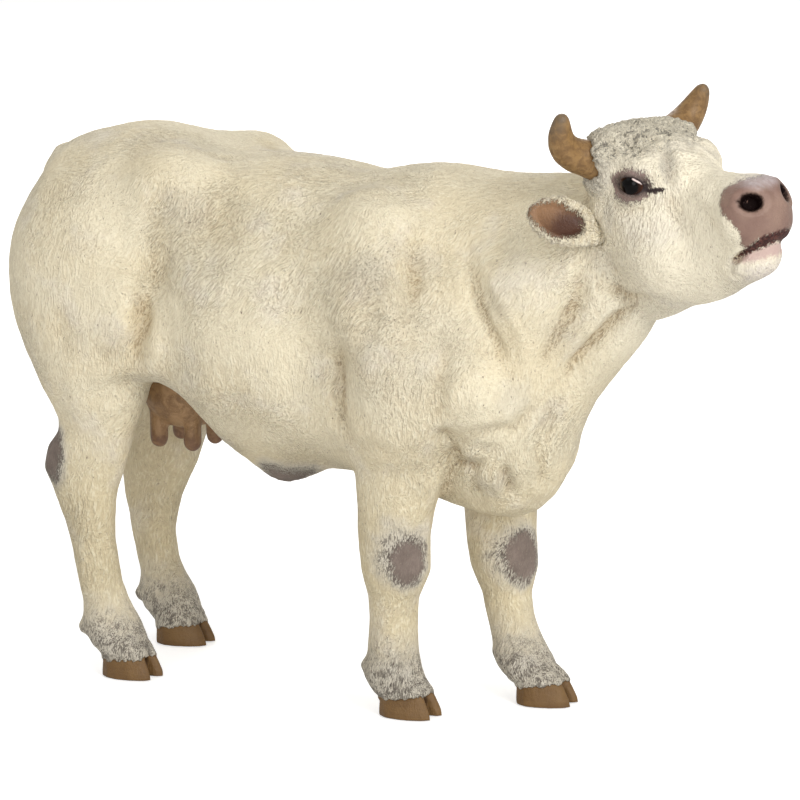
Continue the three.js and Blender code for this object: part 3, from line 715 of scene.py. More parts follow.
def paintCoat(obj, inGroove):
    mesh = obj.data
    points, edges, normals = readPoints(mesh), readEdges(mesh), readNormals(mesh)
    spacing = np.median(np.linalg.norm(points[edges[:, 0]] - points[edges[:, 1]], axis=1))
    broad = relax(points, edges, round(4 * (1.3 * mm / spacing) ** 2))
    cavity = ((broad - points) * normals).sum(1) / mm
    cavity = relax(cavity, edges, round((0.7 * mm / spacing) ** 2))
    # painted shade in creases and hollows, from the skin's cavity and the grooves
    crease = np.maximum(0.85 * ease(0.04, 0.5, cavity), 0.45 * inGroove)
    paint(mesh, "crease", crease)
    ragged = grain(points, 1.6 * mm, seed=11)
    height = points[:, 2] / mm
    rightHalf = points * np.where(points[:, 1:2] > 0, (1, -1, 1), 1)
    flap = inOutline(photoPixels(rightHalf), coatMarks["navelFlap"])
    bare = np.maximum(-2.0, np.where(height > 28, flap + 0.25 * ragged, -2.0))
    for pixel, radius in coatMarks["knees"]:
        away = (points - onSkin(pixel)) / mm * (1, 1, coatMarks["kneeFlatness"])
        bare = np.maximum(bare, radius - np.linalg.norm(away, axis=1) + 0.5 * ragged)
    hock = coatMarks["hock"]
    for side, shift in ((-1, 0), (1, hock["leftShift"])):
        away = (points / mm - (np.array(hock["place"]) * (1, side, 1) + shift)) * (1, 1, hock["flatness"])
        bare = np.maximum(bare, hock["radius"] - np.linalg.norm(away, axis=1) + 0.5 * ragged)
    paint(mesh, "bare", 0.5 + bare / 2)
    wash = np.zeros(len(points))
    for name, sides in (("kneeWashes", 1), ("washes", 2)):
        for pixel, radius, strength in coatMarks[name].values():
            place = onSkin(pixel)
            if place is None:
                continue
            for spot in (place, otherSide(place[None])[0])[:sides]:
                away = np.linalg.norm(points - spot, axis=1) / mm
                wash = np.maximum(wash, strength * ease(1.25 * radius, 0.3 * radius, away + 0.9 * ragged))
    wash = np.maximum(wash, 0.95 * ease(17.5, 5.5, height + 1.8 * ragged))
    wash = np.maximum(wash, 0.95 * ease(-2.4, 0.0, bare))
    local, pixels = nearSide(points)
    onHead = ease(-4, -1, local[:, 0])
    poll = ease(5, 9, local[:, 2]) * ease(13.5, 7.0, local[:, 0])
    hornRoot = np.linalg.norm(local - faceSettings["hornRoot"], axis=1)
    poll = np.maximum(poll * 0.8, 1.5 * ease(6.0, 3.0, hornRoot + 0.6 * ragged))
    wash = np.maximum(wash, onHead * poll * 0.42)
    for place, half, strength in faceSettings["washes"].values():
        spread = ease(1.4, 0.3, oval(pixels, place, half) + 0.3 * ragged)
        wash = np.maximum(wash, onHead * strength * spread)
    paint(mesh, "wash", wash)
    veil = np.zeros(len(points))
    for place, half, strength in faceSettings["veils"].values():
        spread = ease(1.4, 0.3, oval(pixels, place, half) + 0.3 * ragged)
        veil = np.maximum(veil, onHead * strength * spread)
    paint(mesh, "veil", veil * (local[:, 0] > faceSettings["veilFrom"]))
    paint(mesh, "pale", ease(-6, 3, local[:, 0]))
    paint(mesh, "hoof", 0.5 + (hoofHem(points) - height) / 1.2)
    # combing: along the back, and slanting over the upper side
    paint(mesh, "alongBack", ease(0.55, 0.85, normals[:, 2]))
    paint(mesh, "slanting", ease(52, 66, height + 4 * ragged) * (1 - onHead) * ease(-52, -36, points[:, 0] / mm))
    # face
    for name, (start, softness) in faceSettings["areas"].items():
        inside = inOutline(pixels, faceSettings[name])
        paint(mesh, name, np.where(local[:, 0] > start, 0.5 + inside / softness, 0))
    pit = 0.5 + (1 - oval(pixels, *faceSettings["nostril"])) * 1.1
    pit = np.maximum(pit, 0.36 + 0.3 * (1 - oval(pixels, *faceSettings["nostrilCorner"])))
    paint(mesh, "pit", pit * (local[:, 0] > faceSettings["nostrilFrom"]) * onHead)
    almond, away, out = eyePlaces(local)
    ring = 0.5 + 1.3 * (1 - oval(pixels, *faceSettings["lidRing"]))
    ring += 0.3 * ease(0.7, 1.1, almond) * ease(1.9, 1.1, almond)
    streak, along = lineNearness(pixels, faceSettings["tearLine"], faceSettings["tearReach"])
    onStreak = streak < faceSettings["tearReach"]
    ring = np.maximum(ring, np.where(onStreak, 0.5 + (4.0 - 2.6 * along - streak) / 7, 0))
    nearEye = (out > 0) & (away < 7) & (local[:, 1] < 0)
    paint(mesh, "lid", ring * (onHead > 0.5) * nearEye)
    lash = (0.5 + 0.95 * (1.07 - almond)) * (out > 0) * (away < 4)
    lash = np.maximum(lash, np.where(onStreak & nearEye, 0.5 + (3.0 - 1.6 * along - streak) / 7, 0))
    paint(mesh, "lash", lash * (onHead > 0.5))


def clearFace(mesh):
    # pieces that carry none of the face's and the hooves' paint
    for name in ("muzzle", "slit", "lip", "pit", "lid", "lash", "veil", "bare", "hoof"):
        paint(mesh, name, np.zeros(len(mesh.vertices)))


# Node tools
def addNode(tree, kind, settings=None, inputs=None):
    made = tree.nodes.new("ShaderNode" + kind)
    for name, value in (settings or {}).items():
        setattr(made, name, value)
    for name, value in (inputs or {}).items():
        if isinstance(value, bpy.types.NodeSocket):
            tree.links.new(value, made.inputs[name])
        else:
            made.inputs[name].default_value = value
    return made


def maths(operation, tree, *values, clamp=False):
    node = addNode(tree, "Math", {"operation": operation, "use_clamp": clamp}, dict(enumerate(values)))
    return node.outputs[0]


plus, minus, times, larger = (partial(maths, kind) for kind in ("ADD", "SUBTRACT", "MULTIPLY", "MAXIMUM"))


def fade(tree, value, low, high, toLow=0.0, toHigh=1.0):
    node = addNode(tree, "MapRange", {"interpolation_type": "SMOOTHSTEP"}, {
        "Value": value, "From Min": low, "From Max": high, "To Min": toLow, "To Max": toHigh})
    return node.outputs[0]


def blend(tree, amount, first, second):
    node = addNode(tree, "Mix", {"data_type": "RGBA"}, {0: amount, 6: first, 7: second})
    return node.outputs[2]


def mark(tree, name):
    return addNode(tree, "Attribute", {"attribute_name": name}).outputs["Fac"]


def speckle(tree, place, scale, detail=2.0, roughness=0.55, distortion=0.0):
    node = addNode(tree, "TexNoise", None, {
        "Vector": place, "Scale": scale, "Detail": detail, "Roughness": roughness, "Distortion": distortion})
    return node.outputs["Fac"]


def addBump(tree, shader, relief, depth, strength=1.0):
    bump = addNode(tree, "Bump", None, {"Strength": strength, "Distance": depth, "Height": relief})
    tree.links.new(bump.outputs[0], shader.inputs["Normal"])


def colour(red, green, blue):
    # screen colour, 0 to 255, as the linear value that a socket takes
    parts = [part / 255 for part in (red, green, blue)]
    return (*[part / 12.92 if part <= 0.04045 else ((part + 0.055) / 1.055) ** 2.4 for part in parts], 1)


def newMaterial(name):
    made = bpy.data.materials.new(name)
    made.use_nodes = True
    tree = made.node_tree
    return made, tree, tree.nodes["Principled BSDF"]


# Coat
coatSettings = {
    "cream": colour(229, 218, 190),
    "warmCream": colour(225, 210, 176),
    "milk": colour(231, 223, 210),
    "paleFace": colour(248, 239, 216),
    # darker, yellower cream low on the figure: painted shade under the body, partly the coat's warmer tone there
    "shadedLowCream": colour(206, 191, 155),
    # painted highlight on the raised hair
    "highlightOnHair": colour(241, 233, 208),
    # painted shade in the pits between the hairs
    "pitShade": colour(150, 124, 90),
    # painted shade in creases and hollows
    "creaseShadeTint": colour(193, 170, 128),
    "wash": colour(104, 97, 88),
    "washLight": colour(196, 190, 179),
    "bareSkin": colour(106, 92, 84),
    "bareLight": colour(124, 109, 101),
    "curlGrey": colour(126, 121, 112),
    "muzzle": colour(145, 118, 104),
    "muzzleDark": colour(128, 100, 89),
    "veil": colour(198, 188, 190),
    "lip": colour(186, 152, 148),
    "slit": colour(58, 27, 22),
    "slitLight": colour(118, 70, 60),
    "pit": colour(24, 15, 14),
    "lid": colour(130, 104, 101),
    "lidDeep": colour(72, 47, 46),
    "lash": colour(44, 30, 30),
    "hoof": colour(104, 76, 42),
    "hoofLight": colour(117, 88, 50),
    # painted shade in the hooves' creases and cleft
    "hoofCreaseShade": colour(62, 42, 26),
    "ear": colour(142, 108, 79),
    # painted shade deep in the ear's hollow
    "earHollowShade": colour(80, 52, 40),
    "hairWidth": 0.24 * mm,
    "hairLength": 4.2,  # times the width
    "thinHair": 0.52,  # times the width
    "sway": 4.5 * mm,  # how far the strokes wander from side to side
    "bumpDepth": 0.45 * mm,
    "smoothest": 0.5,  # share of the hair relief that stays on the smooth stretches
}


def combed(tree, place, angle, width, length, seed):
    # hair strokes that run along a direction in the figure's side view
    turned = addNode(tree, "Mapping", {"vector_type": "TEXTURE"}, {
        "Vector": place, "Rotation": (0, math.radians(angle), 0), "Scale": (1, 1, length),
        "Location": (seed, seed, seed)}).outputs[0]
    strokes = speckle(tree, turned, 1 / width, 1.5, 0.5)
    tufts = addNode(tree, "TexVoronoi", {"feature": "SMOOTH_F1"}, {
        "Vector": turned, "Scale": 0.42 / width, "Smoothness": 0.35}).outputs["Distance"]
    return minus(tree, times(tree, strokes, 1.3), times(tree, tufts, 0.42))


def makeCoat():
    made, tree, shader = newMaterial("paintedCoat")
    look = coatSettings
    place = addNode(tree, "TexCoord").outputs["Object"]
    sway = addNode(tree, "TexNoise", None, {"Vector": place, "Scale": 120.0, "Detail": 1.0}).outputs["Color"]
    sway = addNode(tree, "VectorMath", {"operation": "SUBTRACT"}, {0: sway, 1: (0.5, 0.5, 0.5)}).outputs[0]
    sway = addNode(tree, "VectorMath", {"operation": "SCALE"}, {0: sway, "Scale": look["sway"]}).outputs[0]
    swayed = addNode(tree, "VectorMath", {"operation": "ADD"}, {0: place, 1: sway}).outputs[0]
    hairSize = look["hairWidth"], look["hairLength"]
    upright, slanted, alongBack = (
        combed(tree, swayed, angle, *hairSize, seed) for angle, seed in ((8, 0.0), (42, 0.3), (86, 0.7)))
    thin = combed(tree, swayed, 12, look["thinHair"] * look["hairWidth"], look["hairLength"], 0.9)
    curls = speckle(tree, place, 0.55 / look["hairWidth"], 2.0, 0.6, 1.6)

    def mixValue(amount, first, second):
        return addNode(tree, "Mix", {"data_type": "FLOAT"}, {0: amount, 2: first, 3: second}).outputs[0]

    hair = mixValue(mark(tree, "slanting"), upright, slanted)
    hair = mixValue(mark(tree, "alongBack"), hair, alongBack)
    hair = mixValue(mark(tree, "curl"), hair, minus(tree, times(tree, curls, 1.5), 0.28))
    broad = speckle(tree, place, 75.0, 2.0)
    patches = speckle(tree, place, 260.0, 3.0)
    stipple = speckle(tree, place, 2900.0, 1.5, 0.5)
    fine = speckle(tree, place, 5200.0, 2.0, 0.7)
    jag = plus(tree, speckle(tree, swayed, 1900.0, 2.0, 0.7), times(tree, patches, 0.4))
    jag = minus(tree, jag, 0.7)

    def edged(name, spread=0.5, soft=0.07, strands=0.0):
        # a painted area with a ragged brush edge, that reaches into the pits between the hairs
        reach = plus(tree, mark(tree, name), times(tree, jag, spread))
        reach = minus(tree, reach, times(tree, minus(tree, thin, 0.42), strands))
        return fade(tree, reach, 0.5 - soft, 0.5 + soft)

    dotted = plus(tree, hair, times(tree, minus(tree, stipple, 0.5), 0.5))
    low = fade(tree, dotted, 0.46, 0.28)
    high = fade(tree, hair, 0.46, 0.72)
    curlShare = mark(tree, "curl")
    # painted shade in creases and hollows, less on the curls
    crease = times(tree, mark(tree, "crease"), fade(tree, curlShare, 0.0, 1.0, 1.0, 0.25))
    furry = fade(tree, speckle(tree, place, 55.0, 1.0), 0.4, 0.62, look["smoothest"], 1.0)
    furry = plus(tree, furry, larger(tree, crease, curlShare), clamp=True)
    wash = mark(tree, "wash")
    height = addNode(tree, "SeparateXYZ", None, {0: place}).outputs["Z"]
    skin = blend(tree, fade(tree, broad, 0.38, 0.68, 0.0, 0.6), look["cream"], look["warmCream"])
    # darker, yellower cream low on the figure: painted shade under the body, partly the coat's warmer tone there
    skin = blend(tree, fade(tree, height, 0.05, 0.026, 0.0, 0.8), skin, look["shadedLowCream"])
    skin = blend(tree, times(tree, mark(tree, "pale"), 0.8), skin, look["paleFace"])
    milk = fade(tree, speckle(tree, place, 110.0, 3.0, 0.6), 0.5, 0.72, 0.0, 0.45)
    skin = blend(tree, milk, skin, look["milk"])
    # painted highlight on the raised hair
    skin = blend(tree, times(tree, high, 0.45), skin, look["highlightOnHair"])
    # painted shade in creases and hollows
    skin = blend(tree, times(tree, crease, 0.5, clamp=True), skin, look["creaseShadeTint"])
    # painted shade in the pits between the hairs, heavier in creases
    pitShadeAmount = fade(tree, plus(tree, crease, times(tree, patches, 0.6)), 0.35, 1.15, 0.26, 0.6)
    pitShadeAmount = times(tree, pitShadeAmount, furry)
    skin = blend(tree, times(tree, low, pitShadeAmount), skin, look["pitShade"])
    # grey wash: a thin tint where it is weak, and dark in the pits of the hair where it is strong
    skin = blend(tree, times(tree, wash, 0.82, clamp=True), skin, look["washLight"])
    thick = fade(tree, plus(tree, wash, times(tree, jag, 0.5)), 0.36, 1.05)
    clumps = times(tree, minus(tree, speckle(tree, swayed, 700.0, 1.0), 0.5), 0.65)
    reach = plus(tree, plus(tree, thin, clumps), times(tree, thick, -0.09))
    stain = times(tree, fade(tree, reach, 0.44, 0.24), times(tree, thick, 0.92))
    skin = blend(tree, stain, skin, look["wash"])
    bare = edged("bare", 0.8, 0.3, 0.9)
    bareTone = blend(tree, fade(tree, patches, 0.35, 0.65), look["bareSkin"], look["bareLight"])
    bareTone = blend(tree, fade(tree, thin, 0.42, 0.2, 0.0, 0.35), bareTone, look["wash"])
    skin = blend(tree, times(tree, bare, 0.94), skin, bareTone)
    # grey left between the curls, in small flecks that crowd in places
    fleck = speckle(tree, swayed, 1500.0, 2.5, 0.65, 1.5)
    fleck = minus(tree, fleck, times(tree, mark(tree, "curlPit"), 0.16))
    fleck = plus(tree, fleck, fade(tree, patches, 0.38, 0.62, 0.0, 0.07))
    fleck = times(tree, fade(tree, fleck, 0.5, 0.34), curlShare)
    skin = blend(tree, times(tree, fleck, 0.8), skin, look["curlGrey"])
    muzzle = edged("muzzle", 0.6, 0.12, 0.4)
    muzzleTone = blend(tree, fade(tree, patches, 0.3, 0.7), look["muzzle"], look["muzzleDark"])
    skin = blend(tree, muzzle, skin, muzzleTone)
    lip = edged("lip", 0.9, 0.35, 0.3)
    skin = blend(tree, times(tree, lip, 0.8), skin, look["lip"])
    veil = times(tree, mark(tree, "veil"), fade(tree, jag, -0.2, 0.2, 0.5, 0.9))
    skin = blend(tree, veil, skin, look["veil"])
    slitTone = blend(tree, fade(tree, curls, 0.5, 0.62, 0.0, 0.7), look["slit"], look["slitLight"])
    skin = blend(tree, edged("slit", 0.9, 0.16), skin, slitTone)
    pit = edged("pit", 0.4, 0.2)
    skin = blend(tree, pit, skin, look["pit"])
    lid = edged("lid", 0.9, 0.22, 1.1)
    deep = plus(tree, mark(tree, "lash"), times(tree, jag, 0.5))
    lidTone = blend(tree, fade(tree, deep, 0.0, 0.42), look["lid"], look["lidDeep"])
    skin = blend(tree, times(tree, lid, 0.9), skin, lidTone)
    skin = blend(tree, edged("lash", 0.6, 0.18, 0.2), skin, look["lash"])
    ear = edged("ear", 0.9, 0.2, 0.8)
    earMottle = plus(tree, times(tree, patches, 0.7), times(tree, curls, 0.3))
    # painted shade deep in the ear's hollow, with mottling
    deep = plus(tree, mark(tree, "earHollowShadeDepth"), earMottle)
    earTone = blend(tree, fade(tree, deep, 0.45, 1.25), look["ear"], look["earHollowShade"])
    skin = blend(tree, ear, skin, earTone)
    hoof = edged("hoof", 0.3, 0.05)
    bands = addNode(tree, "TexNoise", None, {
        "Vector": addNode(tree, "Mapping", None, {"Vector": place, "Scale": (0.12, 0.12, 1)}).outputs[0],
        "Scale": 1500.0, "Detail": 2.0}).outputs["Fac"]
    streaks = plus(tree, times(tree, bands, 0.3), times(tree, patches, 0.7))
    hoofTone = blend(tree, fade(tree, streaks, 0.35, 0.65), look["hoof"], look["hoofLight"])
    # painted shade in the hooves' creases and cleft
    hoofTone = blend(tree, fade(tree, crease, 0.15, 0.8, 0.0, 0.75), hoofTone, look["hoofCreaseShade"])
    skin = blend(tree, hoof, skin, hoofTone)
    tree.links.new(skin, shader.inputs["Base Color"])
    smoothParts = larger(tree, larger(tree, muzzle, hoof), larger(tree, lip, lid))
    smoothParts = larger(tree, smoothParts, ear)
    rough = fade(tree, plus(tree, smoothParts, times(tree, fine, 0.2)), 0.0, 1.2, 0.76, 0.46)
    tree.links.new(rough, shader.inputs["Roughness"])
    hairShare = minus(tree, 1.0, times(tree, larger(tree, smoothParts, bare), 0.85))
    hairShare = times(tree, hairShare, furry)
    relief = times(tree, plus(tree, hair, times(tree, stipple, 0.7)), hairShare)
    relief = plus(tree, relief, times(tree, fine, 0.16))
    relief = plus(tree, relief, times(tree, times(tree, bands, hoof), 0.12))
    relief = plus(tree, relief, times(tree, patches, 0.8))
    addBump(tree, shader, relief, look["bumpDepth"])
    shine = fade(tree, pit, 0.0, 1.0, 0.36, 0.02)  # none in the nostrils
    tree.links.new(shine, shader.inputs["Specular IOR Level"])
    return made


coat = makeCoat()
print("coat is mixed")


# Trunk
def addClumps(points):
    # low tufts of hair that also show at the outline
    height = points[:, 2] / mm
    tufts = grain(points, 0.9 * mm, (1, 1, 2.4), 21) + 0.7 * grain(points, 2.2 * mm, (1, 1, 1.6), 22)
    return tufts * skinSettings["clumpHeight"] * ease(4.0, 6.0, height)


def sculptSkin(obj):
    points, edges = readPoints(obj.data), readEdges(obj.data)
    normals = relax(readNormals(obj.data), edges, 3)
    move, inGroove = sculptForms(points)
    onHead = ease(-3, 0, toHead(points)[:, 0])
    move += addClumps(points) * (1 - onHead)
    height = points[:, 2] / mm
    hem = hoofHem(points)
    shag = grain(points, 0.75 * mm, (1, 1, 2.2), 33)
    move += (0.26 + 0.12 * shag) * mm * ease(hem - 0.15, hem + 0.3, height) * ease(11.0, 4.5, height)
    writePoints(obj.data, points + normals * move[:, None])
    return inGroove


paintCoat(wholeSkin, sculptSkin(wholeSkin))
seamPoint, seamNormal = headSeam()
legSeams = skinSettings["legSeams"]

# Columns that hold the legs: where they end along the figure and off its middle, in mm
legSettings = {
    "foreFrom": -9,
    "foreInner": 3.2,
    "hindTo": -28,
    "hindInner": 2.5,
    "aboveSeam": 2.5,
    "copyFrom": -10,  # part of the trunk is copied with each leg, up to these places
    "copyInner": 1.5,
    "copyAbove": 6,
    "copyWindow": 20,
}


def legWindow(legName, above):
    # the column that holds one leg, up to a height above its seam
    side = -1 if legName.endswith("right") else 1
    fore = legName.startswith("fore")
    inner = legSettings["foreInner" if fore else "hindInner"] * mm
    top = (legSeams[legName] + above) * mm

    def accepts(place):
        lengthwise = place.x > legSettings["foreFrom"] * mm if fore else place.x < legSettings["hindTo"] * mm
        return lengthwise and place.y * side > inner and place.z < top

    return accepts


down, up = Vector((0, 0, -1)), Vector((0, 0, 1))
trunkCuts = []
for name, height in legSeams.items():
    trunkCuts.append((Vector((0, 0, height)) * mm, down, legWindow(name, legSettings["aboveSeam"])))
trunkCuts.append((seamPoint, seamNormal, None))
cutAndClose(wholeSkin, trunkCuts)
wholeSkin.name = "trunkSkin"
finishPiece(wholeSkin, ["trunk"], coat)


# Legs
def makeLeg(legName):
    side = -1 if legName.endswith("right") else 1
    top = legSeams[legName]
    fore = legName.startswith("fore")
    end = legSettings["copyFrom"] if fore else legSettings["hindTo"]
    clips = [
        (Vector((0, 0, top + legSettings["copyAbove"])) * mm, up),
        (Vector((0, legSettings["copyInner"] * side, 0)) * mm, Vector((0, -side, 0))),
        (Vector((end, 0, 0)) * mm, Vector((-1 if fore else 1, 0, 0))),
    ]
    leg = makeSkin(legName + "Skin", ["trunk", legName], skinSettings["legVoxel"], clips)
    paintCoat(leg, sculptSkin(leg))
    window = legWindow(legName, legSettings["copyWindow"])
    cutAndClose(leg, [(Vector((0, 0, top)) * mm, up, None)])
    bm = bmesh.new()
    bm.from_mesh(leg.data)
    stray = [vert for vert in bm.verts if not window(vert.co)]
    bmesh.ops.delete(bm, geom=stray, context="VERTS")
    bmesh.ops.holes_fill(bm, edges=[edge for edge in bm.edges if edge.is_boundary], sides=0)
    bm.to_mesh(leg.data)
    bm.free()
    finishPiece(leg, [legName], coat)


for legName in legSeams:
    makeLeg(legName)
print("legs are done")


# Head
def makeHead():
    back = headPose @ Vector((headSettings["copyFrom"], 0, 0))
    clips = [
        (back, -(headPose.to_3x3() @ Vector((1, 0, 0)))),
        (Vector((0, 0, headSettings["copyAbove"])), down),
    ]
    head = makeSkin("headSkin", ["trunk", "head"], skinSettings["headVoxel"], clips)
    paintCoat(head, sculptHead(head))
    cutAndClose(head, [(seamPoint, -seamNormal, None)])
    finishPiece(head, ["head"], coat)


makeHead()
print("head is done")


# Eyes
eyeSettings = {
    "iris": colour(46, 26, 18),
    "irisRim": colour(84, 50, 34),
    "pupil": colour(8, 6, 6),
    "white": colour(226, 206, 200),
    "pupilSize": 0.62,
    "irisSize": 0.96,
    "fullTurn": 1.1,  # radians from the pupil's middle at which these sizes are 1
    "roughness": 0.1,
    "shine": 0.12,
    "bumpDepth": 0.03 * mm,
    "whiteAndGlintLine": ((632.5, 179), (642.5, 184.2)),  # painted glint along the upper lid, partly the eye's white showing under it, in the photo
}


def makeEyeMaterial():
    made, tree, shader = newMaterial("glossyEye")
    place = addNode(tree, "TexCoord").outputs["Object"]
    flecks = speckle(tree, place, 2600.0, 3.0)
    turn = mark(tree, "turn")  # 0 in the middle of the pupil
    turn = plus(tree, turn, times(tree, minus(tree, flecks, 0.5), 0.12))
    look = eyeSettings
    pupil, iris = look["pupilSize"], look["irisSize"]
    tone = blend(tree, fade(tree, turn, pupil - 0.12, pupil + 0.1), look["pupil"], look["iris"])
    tone = blend(tree, fade(tree, turn, pupil + 0.08, iris), tone, look["irisRim"])
    tone = blend(tree, fade(tree, turn, iris - 0.02, iris + 0.06), tone, look["white"])
    # painted glint along the upper lid, partly the eye's white
    tone = blend(tree, fade(tree, mark(tree, "white"), 0.35, 0.65), tone, look["white"])
    tree.links.new(tone, shader.inputs["Base Color"])
    shader.inputs["Roughness"].default_value = look["roughness"]
    shader.inputs["Specular IOR Level"].default_value = look["shine"]
    addBump(tree, shader, flecks, look["bumpDepth"], 0.2)
    return made


glossyEye = makeEyeMaterial()


def makeEye(name, side):
    bm = bmesh.new()
    bmesh.ops.create_uvsphere(bm, u_segments=48, v_segments=32, radius=faceSettings["eyeRadius"] * mm)
    aim = Vector(eyeAim())
    centre = Vector(eyeCentre) * mm
    aim.y *= -side
    centre.y *= -side
    pose = headPose @ Matrix.Translation(centre)
    bmesh.ops.transform(bm, matrix=pose, verts=bm.verts)
    eye = meshObject(name, bm)
    out = np.array((headPose.to_3x3() @ aim).normalized())
    spokes = (readPoints(eye.data) - np.array(pose.translation)) / (faceSettings["eyeRadius"] * mm)
    paint(eye.data, "turn", np.arccos(np.clip(spokes @ out, -1, 1)) / eyeSettings["fullTurn"])
    local, pixels = nearSide(readPoints(eye.data))
    # painted glint along the upper lid, partly the eye's white
    away, _ = lineNearness(pixels, eyeSettings["whiteAndGlintLine"], 6)
    paint(eye.data, "white", np.where(eyePlaces(local)[2] > 0, 0.5 + (0.9 - away) / 3, 0))
    finishPiece(eye, [], glossyEye)


makeEye("eyeRight", -1)
makeEye("eyeLeft", 1)
print("eyes are set")


# Horns
hornSettings = {
    "voxel": 0.2 * mm,
    "rounds": 45,  # of smoothing
    "swell": 0.2 * mm,
    "tan": colour(146, 113, 68),
    "brown": colour(114, 84, 48),
    "tip": colour(104, 90, 72),
    # painted shade where the horn meets the head
    "root": colour(96, 70, 44),
    "fleck": colour(200, 164, 112),
    "rings": 46.0,
    "bumpDepth": 0.12 * mm,
}


def makeHornMaterial():
    made, tree, shader = newMaterial("streakedHorn")
    place = addNode(tree, "TexCoord").outputs["Object"]
    run = mark(tree, "run")  # 0 at the root, 1 at the tip
    streaks = speckle(tree, place, 900.0, 4.0, 0.6, 0.6)
    fine = speckle(tree, place, 3800.0, 2.0, 0.6)
    tone = blend(tree, fade(tree, streaks, 0.32, 0.68), hornSettings["tan"], hornSettings["brown"])
    tipward = plus(tree, run, times(tree, streaks, 0.25))
    tone = blend(tree, fade(tree, tipward, 0.94, 1.2, 0.0, 0.85), tone, hornSettings["tip"])
    # painted shade where the horn meets the head
    tone = blend(tree, fade(tree, run, 0.16, 0.0, 0.0, 0.5), tone, hornSettings["root"])
    tone = blend(tree, fade(tree, fine, 0.62, 0.8, 0.0, 0.3), tone, hornSettings["fleck"])
    tree.links.new(tone, shader.inputs["Base Color"])
    tree.links.new(fade(tree, streaks, 0.3, 0.7, 0.42, 0.58), shader.inputs["Roughness"])
    wavy = plus(tree, run, times(tree, streaks, 0.12))
    ringed = maths("SINE", tree, times(tree, wavy, hornSettings["rings"]))
    ringed = times(tree, ringed, fade(tree, run, 0.62, 0.1))
    relief = plus(tree, times(tree, ringed, 0.25), times(tree, streaks, 0.8))
    relief = plus(tree, relief, times(tree, fine, 0.25))
    addBump(tree, shader, relief, hornSettings["bumpDepth"])
    return made


hornPaint = makeHornMaterial()


def makeHorn(nodeName):
    horn, points, _ = smoothCopy(nodeName, hornSettings)
    points = points + readNormals(horn.data) * hornSettings["swell"]
    writePoints(horn.data, points)
    local = toHead(points)
    root, tip = local[np.argmin(np.abs(local[:, 1]))], local[np.argmax(local[:, 2])]
    run = (local - root) @ (tip - root) / ((tip - root) @ (tip - root))
    paint(horn.data, "run", run)
    finishPiece(horn, [nodeName], hornPaint)


makeHorn("horn_right")
makeHorn("horn_left")
print("horns are done")


# Ears
earSettings = {
    "voxel": 0.17 * mm,
    "rounds": 26,
    "hollow": ((525, 212), (531, 204), (541, 202), (552, 201), (563, 203), (568, 208), (577, 212), (584, 222),
               (584, 231), (576, 236), (562, 239), (552, 237), (540, 229), (530, 221)),
    "depth": ((571, 227), (36, 36 / 1.4)),  # where the painted shade in the hollow is darkest, in the photo, and half sizes
    "root": (592, 603),  # across the photo: from here on it sinks into the skin
    "reach": (578, 540),  # across the photo: between these it is drawn out
    "longer": {"ear_right": 1.35, "ear_left": 0.7},  # mm
    "pale": 0.25,
}


def makeEar(nodeName):
    ear, points, edges = smoothCopy(nodeName, earSettings)
    # drawn out to the side, as the photo shows it
    turned = np.array(headPose.to_3x3())
    drawn = np.tile(np.array(cameraPose.to_3x3() @ Vector((-1, 0, 0))) @ turned, (len(points), 1))
    drawn[:, 1] *= sideSigns(points)
    _, pixels = nearSide(points)
    longer = earSettings["longer"][nodeName] * mm * ease(*earSettings["reach"], pixels[:, 0])
    points = points + (drawn @ turned.T) * longer[:, None]
    writePoints(ear.data, points)
    normals = relax(readNormals(ear.data), edges, 2)
    _, pixels = nearSide(points)
    sided = normals @ turned
    sided[:, 1] *= sideSigns(points)
    facing = sided @ (np.array(cameraPose.to_3x3() @ Vector((0, 0, 1))) @ turned)
    inside = np.where(facing > -0.25, inOutline(pixels, earSettings["hollow"]), -2)
    shaggy = grain(points, 0.8 * mm, (1, 1, 1.5), 41) + 0.7 * grain(points, 0.4 * mm, seed=42)
    fur = ease(0.1, -0.5, inside)
    points = points + normals * ((0.34 * shaggy + 0.26) * fur * mm)[:, None]
    sunk = ease(0.0, 1.2, inside) + ease(*earSettings["root"], pixels[:, 0])
    points = points - normals * (0.35 * sunk * mm)[:, None]
    writePoints(ear.data, points)
    mesh = ear.data
    paintCoat(ear, np.zeros(len(points)))
    paint(mesh, "ear", 0.5 + inside / 2)
    # painted shade deep in the ear's hollow
    paint(mesh, "earHollowShadeDepth", 1 - oval(pixels, *earSettings["depth"]))
    paint(mesh, "wash", 0.3 * fur * ease(0.1, 0.9, shaggy + 0.5))
    paint(mesh, "pale", np.full(len(points), earSettings["pale"]))
    clearFace(mesh)
    finishPiece(ear, [nodeName], coat)


makeEar("ear_right")
makeEar("ear_left")
print("ears are done")


# Udder
udderSettings = {
    "voxel": 0.22 * mm,
    "rounds": 14,
    "bumpDepth": 0.2 * mm,
    "skin": colour(162, 128, 90),
    "shade": colour(124, 94, 62),
    "light": colour(192, 158, 118),
    "teatEnd": colour(104, 72, 54),
}


